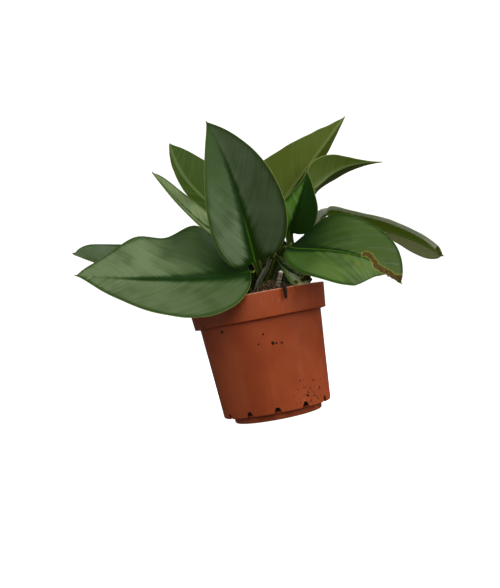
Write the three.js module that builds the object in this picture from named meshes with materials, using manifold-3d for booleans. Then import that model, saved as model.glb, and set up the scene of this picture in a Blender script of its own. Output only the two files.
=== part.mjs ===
// A potted scindapsus: silvery leaves on channelled petioles, five short stems,
// potting soil, and a thin plastic nursery pot.
// Millimetres, +Z up. The origin is the middle of the pot's underside, and the front is -Y.

import * as THREE from 'three';
import { mergeVertices } from 'three/addons/utils/BufferGeometryUtils.js';
import Module from 'manifold-3d';

const wasm = await Module();
wasm.setup();

// Driving dimensions

const GAP = 0.35; // between pieces that touch on the real plant

const POT = {
  height: 106,
  footRadius: 38,
  footHeight: 6,
  bottomRadius: 46.7,
  shoulderRadius: 53,
  bandBottom: 85,
  bandRadius: 57.5,
  rimRadius: 60,
  wall: 1.4,
  sides: 48,
};

const SLOTS = { count: 12, width: 9, point: 3, bottom: 4, top: 11, inner: 42, outer: 50 };

// clearance: the room between the soil and the pot's wall, beyond the gap.
const SOIL = { level: 102, edgeRadius: 56.8, edgeLevel: 99, lump: 0.5, clearance: 0.2, rings: 8, sides: 36 };

// Each heap raises the soil by its height, in a bell curve of that spread.
const HEAPS = [
  { x: 16, y: -38, height: 10, spread: 8.5 },
  { x: 3, y: -42, height: 4, spread: 8 },
  { x: 31, y: -44, height: 5, spread: 4.5 },
  { x: -20, y: 14, height: 5, spread: 18 },
  { x: 40, y: 12, height: 3, spread: 12 },
];

const STEM = { radius: 4.4, ring: 0.6, ringSpacing: 9, depth: 12, sides: 10 };

// A stem's pointed bud: its length, how far below the tip it is half as wide, and the tip's radius.
const BUD = { length: 9, waist: 4, tipRadius: 0.6 };

const STEMS = {
  stem_left: { at: [-7, 2], top: 130, lean: [-0.04, 0.03] },
  stem_middle: { at: [14, 10], top: 133, lean: [0.02, 0.05] },
  stem_right: { at: [41, 10], top: 129, lean: [0.05, 0.04] },
  stem_back_right: { at: [42, 25], top: 124, lean: [0.04, 0.02] },
  stem_front: { at: [9, -14], top: 122, lean: [0.02, -0.04] },
};

const BLADE = {
  thickness: 0.9,
  rows: 13,
  crowding: 1.35,
  start: 0.004,
  end: 0.996,
  columns: [-1, -0.7, -0.36, -0.08, 0, 0.08, 0.36, 0.7, 1],
  narrowest: 0.6,
  ridge: 1.1,
  ridgeWidth: 2.6,
  waveLag: 1.3,
};

const BITE_SLOPE = 0.12;

const PETIOLE = { rows: 4, halfWidth: 3.1, flare: 0.6, lead: 0.3, channel: 1.3, thickness: 1.5, keel: 1.2 };

// Each leaf, with its tip forward and its top face up, has a left and a right half.
// foot: its height on the stem; lead: how far the petiole runs in line with the midrib
// rib: the midrib's four curve points, from the blade's base to its tip
// face: where the top face looks, at the base and at the tip
// wide: the most that each half measures; round, point: how full it is at the base and at the tip
// fold, foldTip: degrees that each half rises from the midrib; bend: degrees it turns on to the margin
// lobe: how far the base reaches back; wave, waves: how far the margin swings, how often and from where
// bite: the half that is eaten away, from where on, and how much of its width
const LEAVES = {
  leaf_front_upright: {
    stem: 'stem_front', foot: 109, lead: 0.12, petioleHalfWidth: 2.8,
    rib: [[4.6, -44, 132], [3, -54, 160], [1, -66, 206], [-13.2, -46, 251.4]],
    face: [[0.15, -1, 0.1], [0.15, -1, 0.2]],
    wide: [32, 35.5], round: [0.6, 0.6], point: [1.05, 0.9],
    fold: [14, 14], foldTip: [20, 14], lobe: [15, 7], wave: [1, 1], waves: [1.5, 0.2],
  },
  leaf_front_left: {
    stem: 'stem_left', foot: 106.5, lead: 0.1, petioleHalfWidth: 2.8,
    rib: [[-1, -40, 124.6], [-35, -56, 122], [-90, -74, 132], [-134.6, -80, 144.3]],
    face: [[0, -0.72, 0.66], [0, -0.72, 0.7]],
    wide: [45, 49], round: [0.9, 0.45], point: [1.25, 0.8],
    fold: [0, 14], lobe: [2, 2], wave: [0.5, 6], waves: [2.45, 0.52],
  },
  leaf_far_left: {
    stem: 'stem_left', foot: 116,
    rib: [[-40, 16, 136], [-76, 8, 139], [-123, -4, 156], [-147.4, -10, 168.8]],
    face: [[0, -0.57, 0.82], [0, -0.57, 0.82]],
    wide: [14, 32], round: [0.5, 0.5], point: [1.2, 0.5],
    fold: [5, 5], lobe: [8, 8], wave: [1, 1], waves: [2, 0.2],
  },
  leaf_upper_left: {
    stem: 'stem_middle', foot: 121,
    rib: [[2, 24, 152], [-12, 30, 190], [-49, 44, 208], [-53.8, 60, 262.5]],
    face: [[-0.75, 0.6, -0.4], [-0.5, 0.85, -0.4]],
    wide: [54, 12], round: [0.75, 0.65], point: [0.6, 0.9],
    fold: [5, 10], lobe: [8, 8], wave: [1, 1], waves: [2, 0.2],
  },
  leaf_side_left: {
    stem: 'stem_left', foot: 122,
    rib: [[-14, 0, 158], [-29, -4, 163], [-52, -4, 198], [-69.4, 6, 228.4]],
    face: [[0.8, -0.1, 0.6], [0.8, -0.1, 0.6]],
    wide: [14, 21.5], round: [0.35, 0.5], point: [1.1, 0.55],
    fold: [-10, 25], lobe: [4, 4], wave: [0, 0.5], waves: [2, 0.2],
  },
  leaf_upper_right: {
    stem: 'stem_middle', foot: 129,
    rib: [[16, 16, 160], [34, 16, 180], [77, 30, 219], [114, 60, 256.7]],
    face: [[-0.2, 0.9, -0.1], [-0.2, 0.9, -0.1]],
    wide: [24, 41.5], round: [0.55, 0.4], point: [0.95, 1.1],
    fold: [58, 5], lobe: [8, 8], wave: [1, 1], waves: [2, 0.2],
  },
  leaf_right_out: {
    stem: 'stem_right', foot: 121.5, lead: 0.12, petioleHalfWidth: 4.2,
    rib: [[67.8, 14, 189.1], [83, 30, 197], [96, 64, 217], [144.1, 84, 211.5]],
    face: [[-0.3, 0.75, 0.5], [-0.1, 0.5, 0.8]],
    wide: [24, 21], round: [1.55, 0.6], point: [1.5, 1.6],
    fold: [20, 30], lobe: [8, 6], wave: [0.5, 0.5], waves: [2, 0.2],
  },
  leaf_inner_right: {
    stem: 'stem_right', foot: 111, lead: 0.12,
    rib: [[39.3, 1, 154.6], [46.4, -4, 164.6], [56.4, -3, 185.7], [64.5, 3, 204.4]],
    face: [[0.1, -0.95, 0.2], [0.1, -0.95, 0.2]],
    wide: [20.5, 19.5], round: [0.3, 0.55], point: [1.45, 1.15],
    fold: [15, 15], lobe: [2, 0], wave: [0.5, 0.5], waves: [2, 0.2],
  },
  leaf_front_right: {
    stem: 'stem_middle', foot: 116, lead: 0.15,
    rib: [[35, -24, 140], [44, -34, 131], [92, -52, 133], [114.9, -62, 91.7]],
    face: [[0.2, -0.7, 0.7], [0.3, -0.7, 0.6]],
    wide: [41.5, 40], round: [0.8, 1], point: [0.8, 0.6],
    fold: [12, 0], lobe: [-3, 15], wave: [1, 1], waves: [2, 0.2], bite: [1, 0.8, 0.85],
  },
  leaf_drooping_right: {
    stem: 'stem_back_right', foot: 111, lead: 0.15, petioleHalfWidth: 6.5,
    rib: [[76, 24, 166], [101, 28, 152], [146, 24, 136], [167.2, 10, 109.4]],
    face: [[0.3, 0.45, 0.85], [0.3, 0.6, 0.7]],
    wide: [26, 16.5], round: [3, 0.2], point: [0.8, 0.45],
    fold: [20, 10], bend: [-4, -21], lobe: [4, 4], wave: [0.5, 0.5], waves: [2, 0.2],
  },
  leaf_small_rim: {
    stem: 'stem_front', foot: 115.5, lead: 0.12, petioleHalfWidth: 2.2,
    rib: [[22, -18, 135], [31, -25, 118], [38, -31, 113], [47, -33, 110]],
    face: [[-0.3, -0.8, 0.4], [0.2, -0.9, 0.3]],
    wide: [9, 12.5], round: [0.7, 1.45], point: [0.5, 0.25],
    fold: [5, 5], lobe: [0, 0], wave: [0.5, 0.5], waves: [2, 0.2],
  },
  leaf_back_left: {
    stem: 'stem_left', foot: 108,
    rib: [[-21, 42, 128], [-42, 60, 137], [-76, 88, 137], [-101, 104, 116]],
    face: [[-0.2, 0.1, 0.95], [-0.2, 0.3, 0.95]],
    wide: [33, 33], round: [0.5, 0.5], point: [0.9, 0.9],
    fold: [10, 10], lobe: [8, 8], wave: [1, 1], waves: [2, 0.2],
  },
  leaf_back: {
    stem: 'stem_middle', foot: 113,
    rib: [[14, 42, 106], [13, 50, 124], [12, 58, 150], [14, 62, 182]],
    face: [[0, 1, -0.3], [0, 1, -0.3]],
    wide: [33, 21], round: [0.5, 0.5], point: [0.9, 0.9],
    fold: [10, 10], lobe: [8, 8], wave: [1, 1], waves: [2, 0.2],
  },
};

// A dry leaf sheath: a narrow strip that stands in the soil.
const SHEATH = {
  rib: [[-1, -36, 100], [3, -38.5, 116], [13, -37.5, 122], [18, -34, 131.5]],
  face: [[-0.5, -0.8, 0.3], [-0.5, -0.8, 0.3]],
  wide: [2.2, 2.2], round: [0.3, 0.3], point: [0.4, 0.4],
  fold: [12, 12], lobe: [0, 0], wave: [0, 0], waves: [1, 0],
  rows: 8, columns: [-1, 0, 1], holeRadius: 3.4,
};

const ROOT_STUB = {
  foot: [16.5, -42, 102],
  top: [24.2, -42, 120.2],
  radius: 2.2,
  taper: 0.72,
  ring: 0.4,
  rings: 7,
  room: 0.4, // beyond the gap, in its hole
};

const HANGING_ROOT = {
  path: [
    [23.5, -44.1, 101], [23.8, -49.8, 107], [23.8, -54.8, 108.4], [23.9, -57.2, 105.2], [23.3, -56.5, 96.8],
  ],
  radius: 1.5,
  knot: 0.14,
  tipLoss: 0.35,
  sides: 8,
  steps: 16,
};

const COLOURS = {
  pot: '#9a4f2e',
  soil: '#33261a',
  stem: '#5a6b2c',
  leaf: '#4c6a3c',
  leafFresh: '#4f7a35',
  sheath: '#5a5f4a',
  root: '#a89c86',
  darkRoot: '#2e2118',
};

// Helpers for closed meshes

const vector = (p) => new THREE.Vector3(...p);
const mix = (a, b, t) => a + (b - a) * t;

/** A geometry from a list of points and a list of triangles of point numbers. */
function meshFrom(points, triangles) {
  const geometry = new THREE.BufferGeometry();
  const values = points.flatMap((p) => [p.x, p.y, p.z]);
  geometry.setAttribute('position', new THREE.Float32BufferAttribute(values, 3));
  geometry.setIndex(triangles.flat());
  return geometry;
}

/** A closed geometry as a manifold-3d solid, its shared vertices merged. */
function toSolid(geometry) {
  const bare = geometry.clone();
  bare.deleteAttribute('normal');
  bare.deleteAttribute('uv');
  const merged = mergeVertices(bare, 1e-4);
  return new wasm.Manifold(new wasm.Mesh({
    numProp: 3,
    vertProperties: new Float32Array(merged.attributes.position.array),
    triVerts: new Uint32Array(merged.index.array),
  }));
}

/** A manifold-3d solid as a three.js geometry. */
function toGeometry(solid) {
  const mesh = solid.getMesh();
  const geometry = new THREE.BufferGeometry();
  geometry.setAttribute('position', new THREE.Float32BufferAttribute(mesh.vertProperties, 3));
  geometry.setIndex(Array.from(mesh.triVerts));
  return geometry;
}

/** A tube of round rings, one for each station {at, radius}, closed at both ends. */
function ringTube(stations, sides) {
  const points = [];
  const triangles = [];
  const last = stations.length - 1;
  const across = new THREE.Vector3(1, 0, 0);
  stations.forEach(({ at, radius }, i) => {
    const along = stations[Math.min(i + 1, last)].at.clone().sub(stations[Math.max(i - 1, 0)].at).normalize();
    const u = across.clone().addScaledVector(along, -across.dot(along)).normalize();
    const v = along.clone().cross(u);
    for (let j = 0; j < sides; j += 1) {
      const angle = (2 * Math.PI * j) / sides;
      const [c, s] = [Math.cos(angle), Math.sin(angle)];
      points.push(at.clone().addScaledVector(u, radius * c).addScaledVector(v, radius * s));
    }
  });
  for (let i = 0; i < last; i += 1) {
    for (let j = 0; j < sides; j += 1) {
      const a = i * sides + j;
      const b = i * sides + ((j + 1) % sides);
      triangles.push([a, b, b + sides], [a, b + sides, a + sides]);
    }
  }
  points.push(stations[0].at.clone(), stations[last].at.clone());
  for (let j = 0; j < sides; j += 1) {
    const next = (j + 1) % sides;
    triangles.push([points.length - 2, next, j]);
    triangles.push([points.length - 1, last * sides + j, last * sides + next]);
  }
  return meshFrom(points, triangles);
}

// Leaves

/** How wide a half is at t, as a part of its widest: full near the base, pointed at the tip. */
function outline(t, round, point) {
  const peak = (round ** round * point ** point) / (round + point) ** (round + point);
  return (t ** round * (1 - t) ** point) / peak;
}

/** What a bite leaves of a half's width at t: it reaches its depth over BITE_SLOPE of the length. */
function bitten(t, bite, side) {
  if (!bite || bite[0] !== side) return 1;
  const u = THREE.MathUtils.smoothstep(t, bite[1], bite[1] + BITE_SLOPE);
  return 1 - bite[2] * u;
}

/** The point of a blade at t along the midrib and s across it: an arc from the midrib, with a wave. */
function bladePoint(leaf, frame, t, s) {
  const side = s < 0 ? 0 : 1;
  const full = outline(t, leaf.round[side], leaf.point[side]) * bitten(t, leaf.bite, side);
  const distance = Math.abs(s) * Math.hypot(leaf.wide[side] * full, BLADE.narrowest);
  const foldTip = (leaf.foldTip ?? leaf.fold)[side];
  const fold = THREE.MathUtils.degToRad(mix(leaf.fold[side], foldTip, t));
  const turn = THREE.MathUtils.degToRad((leaf.bend ?? [0, 0])[side] || 0.01) / leaf.wide[side];
  const out = (Math.sin(fold + turn * distance) - Math.sin(fold)) / turn;
  const lift = (Math.cos(fold) - Math.cos(fold + turn * distance)) / turn;
  const swing = 2 * Math.PI * (leaf.waves[0] * t + leaf.waves[1]) + (side ? 0 : BLADE.waveLag);
  const wave = leaf.wave[side] * s * s * full * Math.sin(swing);
  const back = leaf.lobe[side] * (distance / leaf.wide[side]) * (1 - t) ** 3;
  return frame.at.clone()
    .addScaledVector(frame.across, Math.sign(s) * out)
    .addScaledVector(frame.up, lift + wave)
    .addScaledVector(frame.along, -back);
}

/** Position, direction, top face's side and the way across, at t on a curve. */
function frameOn(curve, t, face) {
  const at = curve.getPoint(t);
  const along = curve.getTangent(t);
  const up = face.clone().addScaledVector(along, -face.dot(along)).normalize();
  return { at, along, up, across: along.clone().cross(up) };
}

/** The petiole's curve: it leaves the stem slanting up towards the blade and runs into the midrib. */
function petioleCurve(leaf) {
  const [base, next] = [vector(leaf.rib[0]), vector(leaf.rib[1])];
  const foot = onStem(STEMS[leaf.stem], leaf.foot);
  const reach = base.distanceTo(foot);
  const outward = new THREE.Vector3(base.x - foot.x, base.y - foot.y, 0).normalize();
  const rise = outward.add(new THREE.Vector3(0, 0, 1)).normalize();
  const intoRib = base.clone().sub(next).normalize();
  return new THREE.CubicBezierCurve3(
    foot,
    foot.clone().addScaledVector(rise, 0.35 * reach),
    base.clone().addScaledVector(intoRib, (leaf.lead ?? PETIOLE.lead) * reach),
    base,
  );
}

/** Rows of middle points across a leaf, with the half-thickness above and below each. */
function leafRows(leaf) {
  const [faceBase, faceTip] = leaf.face.map((f) => vector(f).normalize());
  const columns = leaf.columns ?? BLADE.columns;
  const count = leaf.rows ?? BLADE.rows;
  const rows = [];
  if (leaf.stem) {
    const curve = petioleCurve(leaf);
    const end = leaf.petioleHalfWidth ?? PETIOLE.halfWidth;
    for (let i = 0; i < PETIOLE.rows; i += 1) {
      const t = i / PETIOLE.rows;
      const frame = frameOn(curve, t, faceBase);
      const half = mix(end + PETIOLE.flare, end, t);
      rows.push(columns.map((s) => ({
        at: frame.at.clone()
          .addScaledVector(frame.across, s * half)
          .addScaledVector(frame.up, PETIOLE.channel * s * s),
        above: PETIOLE.thickness / 2,
        below: PETIOLE.thickness / 2 + PETIOLE.keel * (1 - s * s),
      })));
    }
  }
  const rib = new THREE.CubicBezierCurve3(...leaf.rib.map(vector));
  for (let i = 0; i < count; i += 1) {
    const t = mix(BLADE.start, BLADE.end, (i / (count - 1)) ** BLADE.crowding);
    const frame = frameOn(rib, t, faceBase.clone().lerp(faceTip, t));
    rows.push(columns.map((s) => {
      const at = bladePoint(leaf, frame, t, s);
      const fromRib = at.distanceTo(frame.at) / BLADE.ridgeWidth;
      const ridge = leaf.stem ? BLADE.ridge * (1 - t) * Math.exp(-fromRib * fromRib) : 0;
      return { at, above: BLADE.thickness / 2, below: BLADE.thickness / 2 + ridge };
    }));
  }
  return rows;
}

/** A closed slab round rows of middle points: its two faces are split into triangles alike. */
function slab(rows) {
  const columns = rows[0].length;
  const top = [];
  const under = [];
  rows.forEach((row, i) => row.forEach(({ at, above, below }, j) => {
    const forward = rows[Math.min(i + 1, rows.length - 1)][j].at.clone().sub(rows[Math.max(i - 1, 0)][j].at);
    const sideways = row[Math.min(j + 1, columns - 1)].at.clone().sub(row[Math.max(j - 1, 0)].at);
    const normal = sideways.cross(forward).normalize();
    top.push(at.clone().addScaledVector(normal, above));
    under.push(at.clone().addScaledVector(normal, -below));
  }));
  const count = top.length;
  const triangles = [];
  for (let i = 0; i < rows.length - 1; i += 1) {
    for (let j = 0; j < columns - 1; j += 1) {
      const a = i * columns + j;
      const [b, c, d] = [a + 1, a + columns + 1, a + columns];
      triangles.push([a, b, c], [a, c, d]);
      triangles.push([count + a, count + c, count + b], [count + a, count + d, count + c]);
    }
  }
  const wall = (a, b) => triangles.push([a, b, count + b], [a, count + b, count + a]);
  const lastRow = (rows.length - 1) * columns;
  for (let j = 0; j < columns - 1; j += 1) {
    wall(j + 1, j);
    wall(lastRow + j, lastRow + j + 1);
  }
  for (let i = 0; i < rows.length - 1; i += 1) {
    wall(i * columns, (i + 1) * columns);
    wall((i + 2) * columns - 1, (i + 1) * columns - 1);
  }
  return meshFrom([...top, ...under], triangles);
}

/** A leaf's solid: blade and petiole in one, cut clear of the stem that carries it, without the cut-off bits. */
function leafGeometry(leaf) {
  const body = slab(leafRows(leaf));
  if (!leaf.stem) return body;
  const cut = toSolid(body).subtract(toSolid(stemGeometry(STEMS[leaf.stem], GAP)));
  const [largest] = cut.decompose().sort((a, b) => b.volume() - a.volume());
  return toGeometry(largest);
}

// Stems

/** The point of a stem's axis at a height. */
function onStem(stem, z) {
  const rise = z - SOIL.level;
  return new THREE.Vector3(stem.at[0] + stem.lean[0] * rise, stem.at[1] + stem.lean[1] * rise, z);
}

/** A ringed stem with a pointed bud, or the room it needs when it is grown by a gap. */
function stemGeometry(stem, grow = 0) {
  const bottom = SOIL.level - STEM.depth - grow;
  const stations = [{ at: onStem(stem, bottom), radius: STEM.radius - 1 + grow }];
  const budBottom = stem.top - BUD.length;
  for (let z = SOIL.level - STEM.depth + 2; z < budBottom; z += STEM.ringSpacing / 3) {
    const onRing = Math.round((z - SOIL.level) / (STEM.ringSpacing / 3)) % 3 === 0;
    stations.push({ at: onStem(stem, z), radius: STEM.radius + (onRing ? STEM.ring : 0) + grow });
  }
  stations.push({ at: onStem(stem, budBottom), radius: STEM.radius * 0.85 + grow });
  stations.push({ at: onStem(stem, stem.top - BUD.waist), radius: STEM.radius * 0.55 + grow });
  stations.push({ at: onStem(stem, stem.top + grow), radius: BUD.tipRadius + grow });
  return ringTube(stations, STEM.sides);
}

// Soil and roots

function rootStubGeometry(grow = 0) {
  const top = vector(ROOT_STUB.top);
  const foot = vector(ROOT_STUB.foot).addScaledVector(new THREE.Vector3(0, 0, -1), grow);
  const stations = [];
  const steps = 2 * ROOT_STUB.rings;
  for (let i = 0; i <= steps; i += 1) {
    const t = i / steps;
    const taper = mix(1, ROOT_STUB.taper, t) * (i === steps ? 0.5 : 1);
    const radius = ROOT_STUB.radius * taper + (i % 2 ? ROOT_STUB.ring : 0) + grow;
    stations.push({ at: foot.clone().lerp(top, t), radius });
  }
  return ringTube(stations, 10);
}

function hangingRootGeometry(grow = 0) {
  const path = HANGING_ROOT.path.map(vector);
  path[0].addScaledVector(path[0].clone().sub(path[1]).normalize(), grow);
  const curve = new THREE.CatmullRomCurve3(path);
  const stations = [];
  for (let i = 0; i <= HANGING_ROOT.steps; i += 1) {
    const t = i / HANGING_ROOT.steps;
    const knots = 1 + HANGING_ROOT.knot * Math.sin(9 * t + 1) - HANGING_ROOT.tipLoss * t ** 6;
    stations.push({ at: curve.getPoint(t), radius: HANGING_ROOT.radius * knots + grow });
  }
  return ringTube(stations, HANGING_ROOT.sides);
}

/** The hole that the sheath stands in. */
function sheathHole() {
  const [foot, next] = [vector(SHEATH.rib[0]), vector(SHEATH.rib[1])];
  const below = foot.clone().lerp(next, -0.1);
  const above = foot.clone().lerp(next, 1);
  return ringTube([{ at: below, radius: SHEATH.holeRadius }, { at: above, radius: SHEATH.holeRadius }], 10);
}

/** The soil's surface: level in the middle, lower at the wall, with heaps and small crumbs. */
function soilLevel(x, y) {
  const r = Math.hypot(x, y) / SOIL.edgeRadius;
  let z = mix(SOIL.level, SOIL.edgeLevel, r ** 6);
  for (const heap of HEAPS) {
    const away = ((x - heap.x) ** 2 + (y - heap.y) ** 2) / (2 * heap.spread ** 2);
    z += heap.height * Math.exp(-away) * (1 - r ** 8);
  }
  return z + SOIL.lump * Math.sin(0.9 * x + 0.5) * Math.sin(0.8 * y) * (1 - r ** 4);
}

/** The soil fills the pot below its surface, a gap away from the wall, with a hole for each piece in it. */
function soilGeometry() {
  const inside = (outer) => outer - POT.wall - GAP - SOIL.clearance;
  const floor = POT.wall + GAP;
  const sidePoints = [
    [0, floor],
    [inside(POT.footRadius) - 1, floor],
    [inside(POT.footRadius), POT.footHeight + floor],
    [inside(POT.bottomRadius) - 1, POT.footHeight + floor],
    [inside(POT.bottomRadius) + 0.3, POT.footHeight + floor + 2.5],
    [inside(POT.shoulderRadius), POT.bandBottom - 1],
    [inside(POT.shoulderRadius), POT.bandBottom + floor + 1.2],
    [inside(POT.bandRadius), POT.bandBottom + floor + 1.2],
  ];
  const points = [];
  const triangles = [];
  const rowLength = sidePoints.length + SOIL.rings;
  for (let j = 0; j < SOIL.sides; j += 1) {
    const angle = (2 * Math.PI * j) / SOIL.sides;
    const [c, s] = [Math.cos(angle), Math.sin(angle)];
    sidePoints.forEach(([r, z]) => points.push(new THREE.Vector3(r * c, r * s, z)));
    for (let i = SOIL.rings; i > 0; i -= 1) {
      const r = (SOIL.edgeRadius * i) / SOIL.rings;
      points.push(new THREE.Vector3(r * c, r * s, soilLevel(r * c, r * s)));
    }
  }
  for (let j = 0; j < SOIL.sides; j += 1) {
    const next = (j + 1) % SOIL.sides;
    for (let i = 0; i < rowLength - 1; i += 1) {
      const [a, b] = [j * rowLength + i, next * rowLength + i];
      if (i > 0) triangles.push([a, b, b + 1]);
      triangles.push([a, b + 1, a + 1]);
    }
    const [a, b] = [(j + 1) * rowLength - 1, (next + 1) * rowLength - 1];
    triangles.push([a, b, SOIL.sides * rowLength]);
  }
  points.push(new THREE.Vector3(0, 0, soilLevel(0, 0)));
  let solid = toSolid(meshFrom(points, triangles));
  const standing = [
    ...Object.values(STEMS).map((stem) => stemGeometry(stem, GAP)),
    rootStubGeometry(GAP + ROOT_STUB.room),
    hangingRootGeometry(GAP),
    sheathHole(),
  ];
  for (const piece of standing) solid = solid.subtract(toSolid(piece));
  return toGeometry(solid);
}

// Pot

/** The pot's wall as a profile that closes on the axis: outside from the bottom up, then inside down. */
function potProfile() {
  const { footRadius, footHeight, bottomRadius, shoulderRadius, wall } = POT;
  const { bandBottom, bandRadius, rimRadius, height } = POT;
  return [
    [0, 0],
    [footRadius - 2, 0],
    [footRadius - 0.5, 0.7],
    [footRadius, 2.2],
    [footRadius + 0.2, footHeight],
    [bottomRadius - 1.2, footHeight],
    [bottomRadius - 0.3, footHeight + 0.5],
    [bottomRadius, footHeight + 1.8],
    [shoulderRadius, bandBottom - 1],
    [bandRadius - 0.6, bandBottom - 0.8],
    [bandRadius, bandBottom],
    [rimRadius - 0.2, height - 1.6],
    [rimRadius - 0.3, height - 0.6],
    [rimRadius - 0.9, height],
    [rimRadius - 1.5, height - 0.2],
    [rimRadius - 0.2 - wall, height - 1],
    [bandRadius - wall, bandBottom + wall],
    [shoulderRadius - wall, bandBottom + wall - 0.6],
    [bottomRadius - wall + 0.05, footHeight + wall + 1.4],
    [bottomRadius - wall - 0.7, footHeight + wall],
    [footRadius + 0.2 - wall, footHeight + wall],
    [footRadius - wall - 0.4, wall],
    [0, wall],
  ].map(([r, z]) => new THREE.Vector2(r, z));
}

/** A wedge that cuts one drainage slot through the pot's bottom corner, wide below and pointed above. */
function slotGeometry(angle) {
  const { width, point, bottom, top, inner, outer } = SLOTS;
  const shape = new THREE.Shape();
  shape.moveTo(-width / 2, bottom);
  shape.lineTo(width / 2, bottom);
  shape.lineTo(point / 2, top);
  shape.lineTo(-point / 2, top);
  shape.closePath();
  const wedge = new THREE.ExtrudeGeometry(shape, { depth: outer - inner, bevelEnabled: false });
  wedge.rotateX(Math.PI / 2);
  wedge.translate(0, outer, 0);
  wedge.rotateZ(angle);
  return wedge;
}

function potGeometry() {
  let solid = toSolid(new THREE.LatheGeometry(potProfile(), POT.sides).rotateX(Math.PI / 2));
  for (let i = 0; i < SLOTS.count; i += 1) {
    solid = solid.subtract(toSolid(slotGeometry((2 * Math.PI * i) / SLOTS.count)));
  }
  return toGeometry(solid);
}

// The scene graph

const material = (colour, roughness) => new THREE.MeshStandardMaterial({ color: colour, roughness, metalness: 0 });

function piece(name, geometry, finish) {
  const mesh = new THREE.Mesh(geometry, finish);
  mesh.name = name;
  return mesh;
}

const plant = new THREE.Group();
const leafFinish = material(COLOURS.leaf, 0.5);
const freshFinish = material(COLOURS.leafFresh, 0.45);
for (const [name, leaf] of Object.entries(LEAVES)) {
  plant.add(piece(name, leafGeometry(leaf), name === 'leaf_front_right' ? freshFinish : leafFinish));
}
for (const [name, stem] of Object.entries(STEMS)) {
  plant.add(piece(name, stemGeometry(stem), material(COLOURS.stem, 0.6)));
}
plant.add(piece('dry_sheath', leafGeometry(SHEATH), material(COLOURS.sheath, 0.8)));
plant.add(piece('root_stub', rootStubGeometry(), material(COLOURS.root, 0.8)));
plant.add(piece('hanging_root', hangingRootGeometry(), material(COLOURS.darkRoot, 0.9)));

const pottedPlant = new THREE.Group();
pottedPlant.add(piece('pot', potGeometry(), material(COLOURS.pot, 0.5)));
pottedPlant.add(piece('soil', soilGeometry(), material(COLOURS.soil, 1)));
pottedPlant.add(plant);

export default pottedPlant;
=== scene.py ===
# %% [markdown]
# # A scindapsus with silvery leaves, in its nursery pot
#
# The frame holds a plain solid for each leaf, stem and root, for the soil and for the pot. Each of them
# gives a piece its place and its main form. The cells below work out the fine surface of each piece on
# a grid of two parameters, give it a material made of nodes, and put it where its solid is.

# %% The frame
import bpy
import numpy as np
from mathutils import Matrix, Vector


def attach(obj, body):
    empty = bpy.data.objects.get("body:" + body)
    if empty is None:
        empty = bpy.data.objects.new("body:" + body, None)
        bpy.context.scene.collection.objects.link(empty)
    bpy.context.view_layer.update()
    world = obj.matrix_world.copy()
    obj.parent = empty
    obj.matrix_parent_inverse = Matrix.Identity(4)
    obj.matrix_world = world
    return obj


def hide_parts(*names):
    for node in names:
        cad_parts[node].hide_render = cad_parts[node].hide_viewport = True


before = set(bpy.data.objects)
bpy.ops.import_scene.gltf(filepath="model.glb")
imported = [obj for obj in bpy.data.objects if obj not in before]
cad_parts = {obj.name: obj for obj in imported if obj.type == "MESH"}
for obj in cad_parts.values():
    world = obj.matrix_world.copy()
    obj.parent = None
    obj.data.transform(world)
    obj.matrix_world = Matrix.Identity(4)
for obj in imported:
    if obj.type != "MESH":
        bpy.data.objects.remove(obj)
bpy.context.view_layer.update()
MM = 0.001
print("the frame holds", len(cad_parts), "nodes")

# %% [markdown]
# ## The camera
#
# The photograph looks at the pot from just above half its height, and it is tilted: the pot leans to
# the left in it. The plant stands upright here, so the camera is rolled instead. Its axes are worked
# out from the point that it stands at, the point that it looks at and the roll, and they are the
# columns of its matrix.

# %% Camera
EYE = Vector((0.0, -750.0, 85.0)) * MM
AIM = Vector((-4.9, 0.0, 107.4)) * MM
ROLL = np.radians(10.83)
PICTURE_HEIGHT = 588
FOCAL_PIXELS = 862
SENSOR = 36

forward = (AIM - EYE).normalized()
level = forward.cross(Vector((0, 0, 1))).normalized()
upward = level.cross(forward)
camera_right = level * np.cos(ROLL) - upward * np.sin(ROLL)
camera_up = level * np.sin(ROLL) + upward * np.cos(ROLL)
lens = bpy.data.cameras.new("camera")
lens.sensor_width = SENSOR
lens.lens = FOCAL_PIXELS * SENSOR / PICTURE_HEIGHT
camera = bpy.data.objects.new("camera", lens)
bpy.context.collection.objects.link(camera)
axes = Matrix((camera_right, camera_up, -forward)).transposed()
camera.matrix_world = Matrix.Translation(EYE) @ axes.to_4x4()
bpy.context.scene.camera = camera
print(f"lens {lens.lens:.1f} mm, rolled by {np.degrees(ROLL):.1f} degrees")

# %% [markdown]
# ## Surfaces from grids
#
# Every piece but the scattered crumbs is a row of closed rings: a leaf's ring runs across its top face
# and back along its underside, a stem's ring is round. One helper turns such an array into a mesh, with
# four-sided faces between neighbouring rings and a fan at each end. The arrays are in millimetres, and
# the mesh is in metres.

# %% Meshes
def add_piece(name, points, faces, material, attributes=None):
    """A smooth mesh object at the origin from points in millimetres, with named values at its points."""
    mesh = bpy.data.meshes.new(name)
    mesh.from_pydata(np.asarray(points) * MM, [], faces)
    for key, values in (attributes or {}).items():
        layer = mesh.attributes.new(key, "FLOAT", "POINT")
        layer.data.foreach_set("value", np.asarray(values, np.float32).ravel())
    mesh.shade_smooth()
    mesh.materials.append(material)
    piece = bpy.data.objects.new(name, mesh)
    bpy.context.collection.objects.link(piece)
    return piece


def ring_faces(rows, around):
    """Quads between neighbouring rings, with the last column joined to column 0."""
    i, j = np.meshgrid(np.arange(rows - 1), np.arange(around), indexing="ij")
    here = i * around + j
    beside = i * around + (j + 1) % around
    return np.stack([here, beside, beside + around, here + around], -1).reshape(-1, 4)


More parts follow.
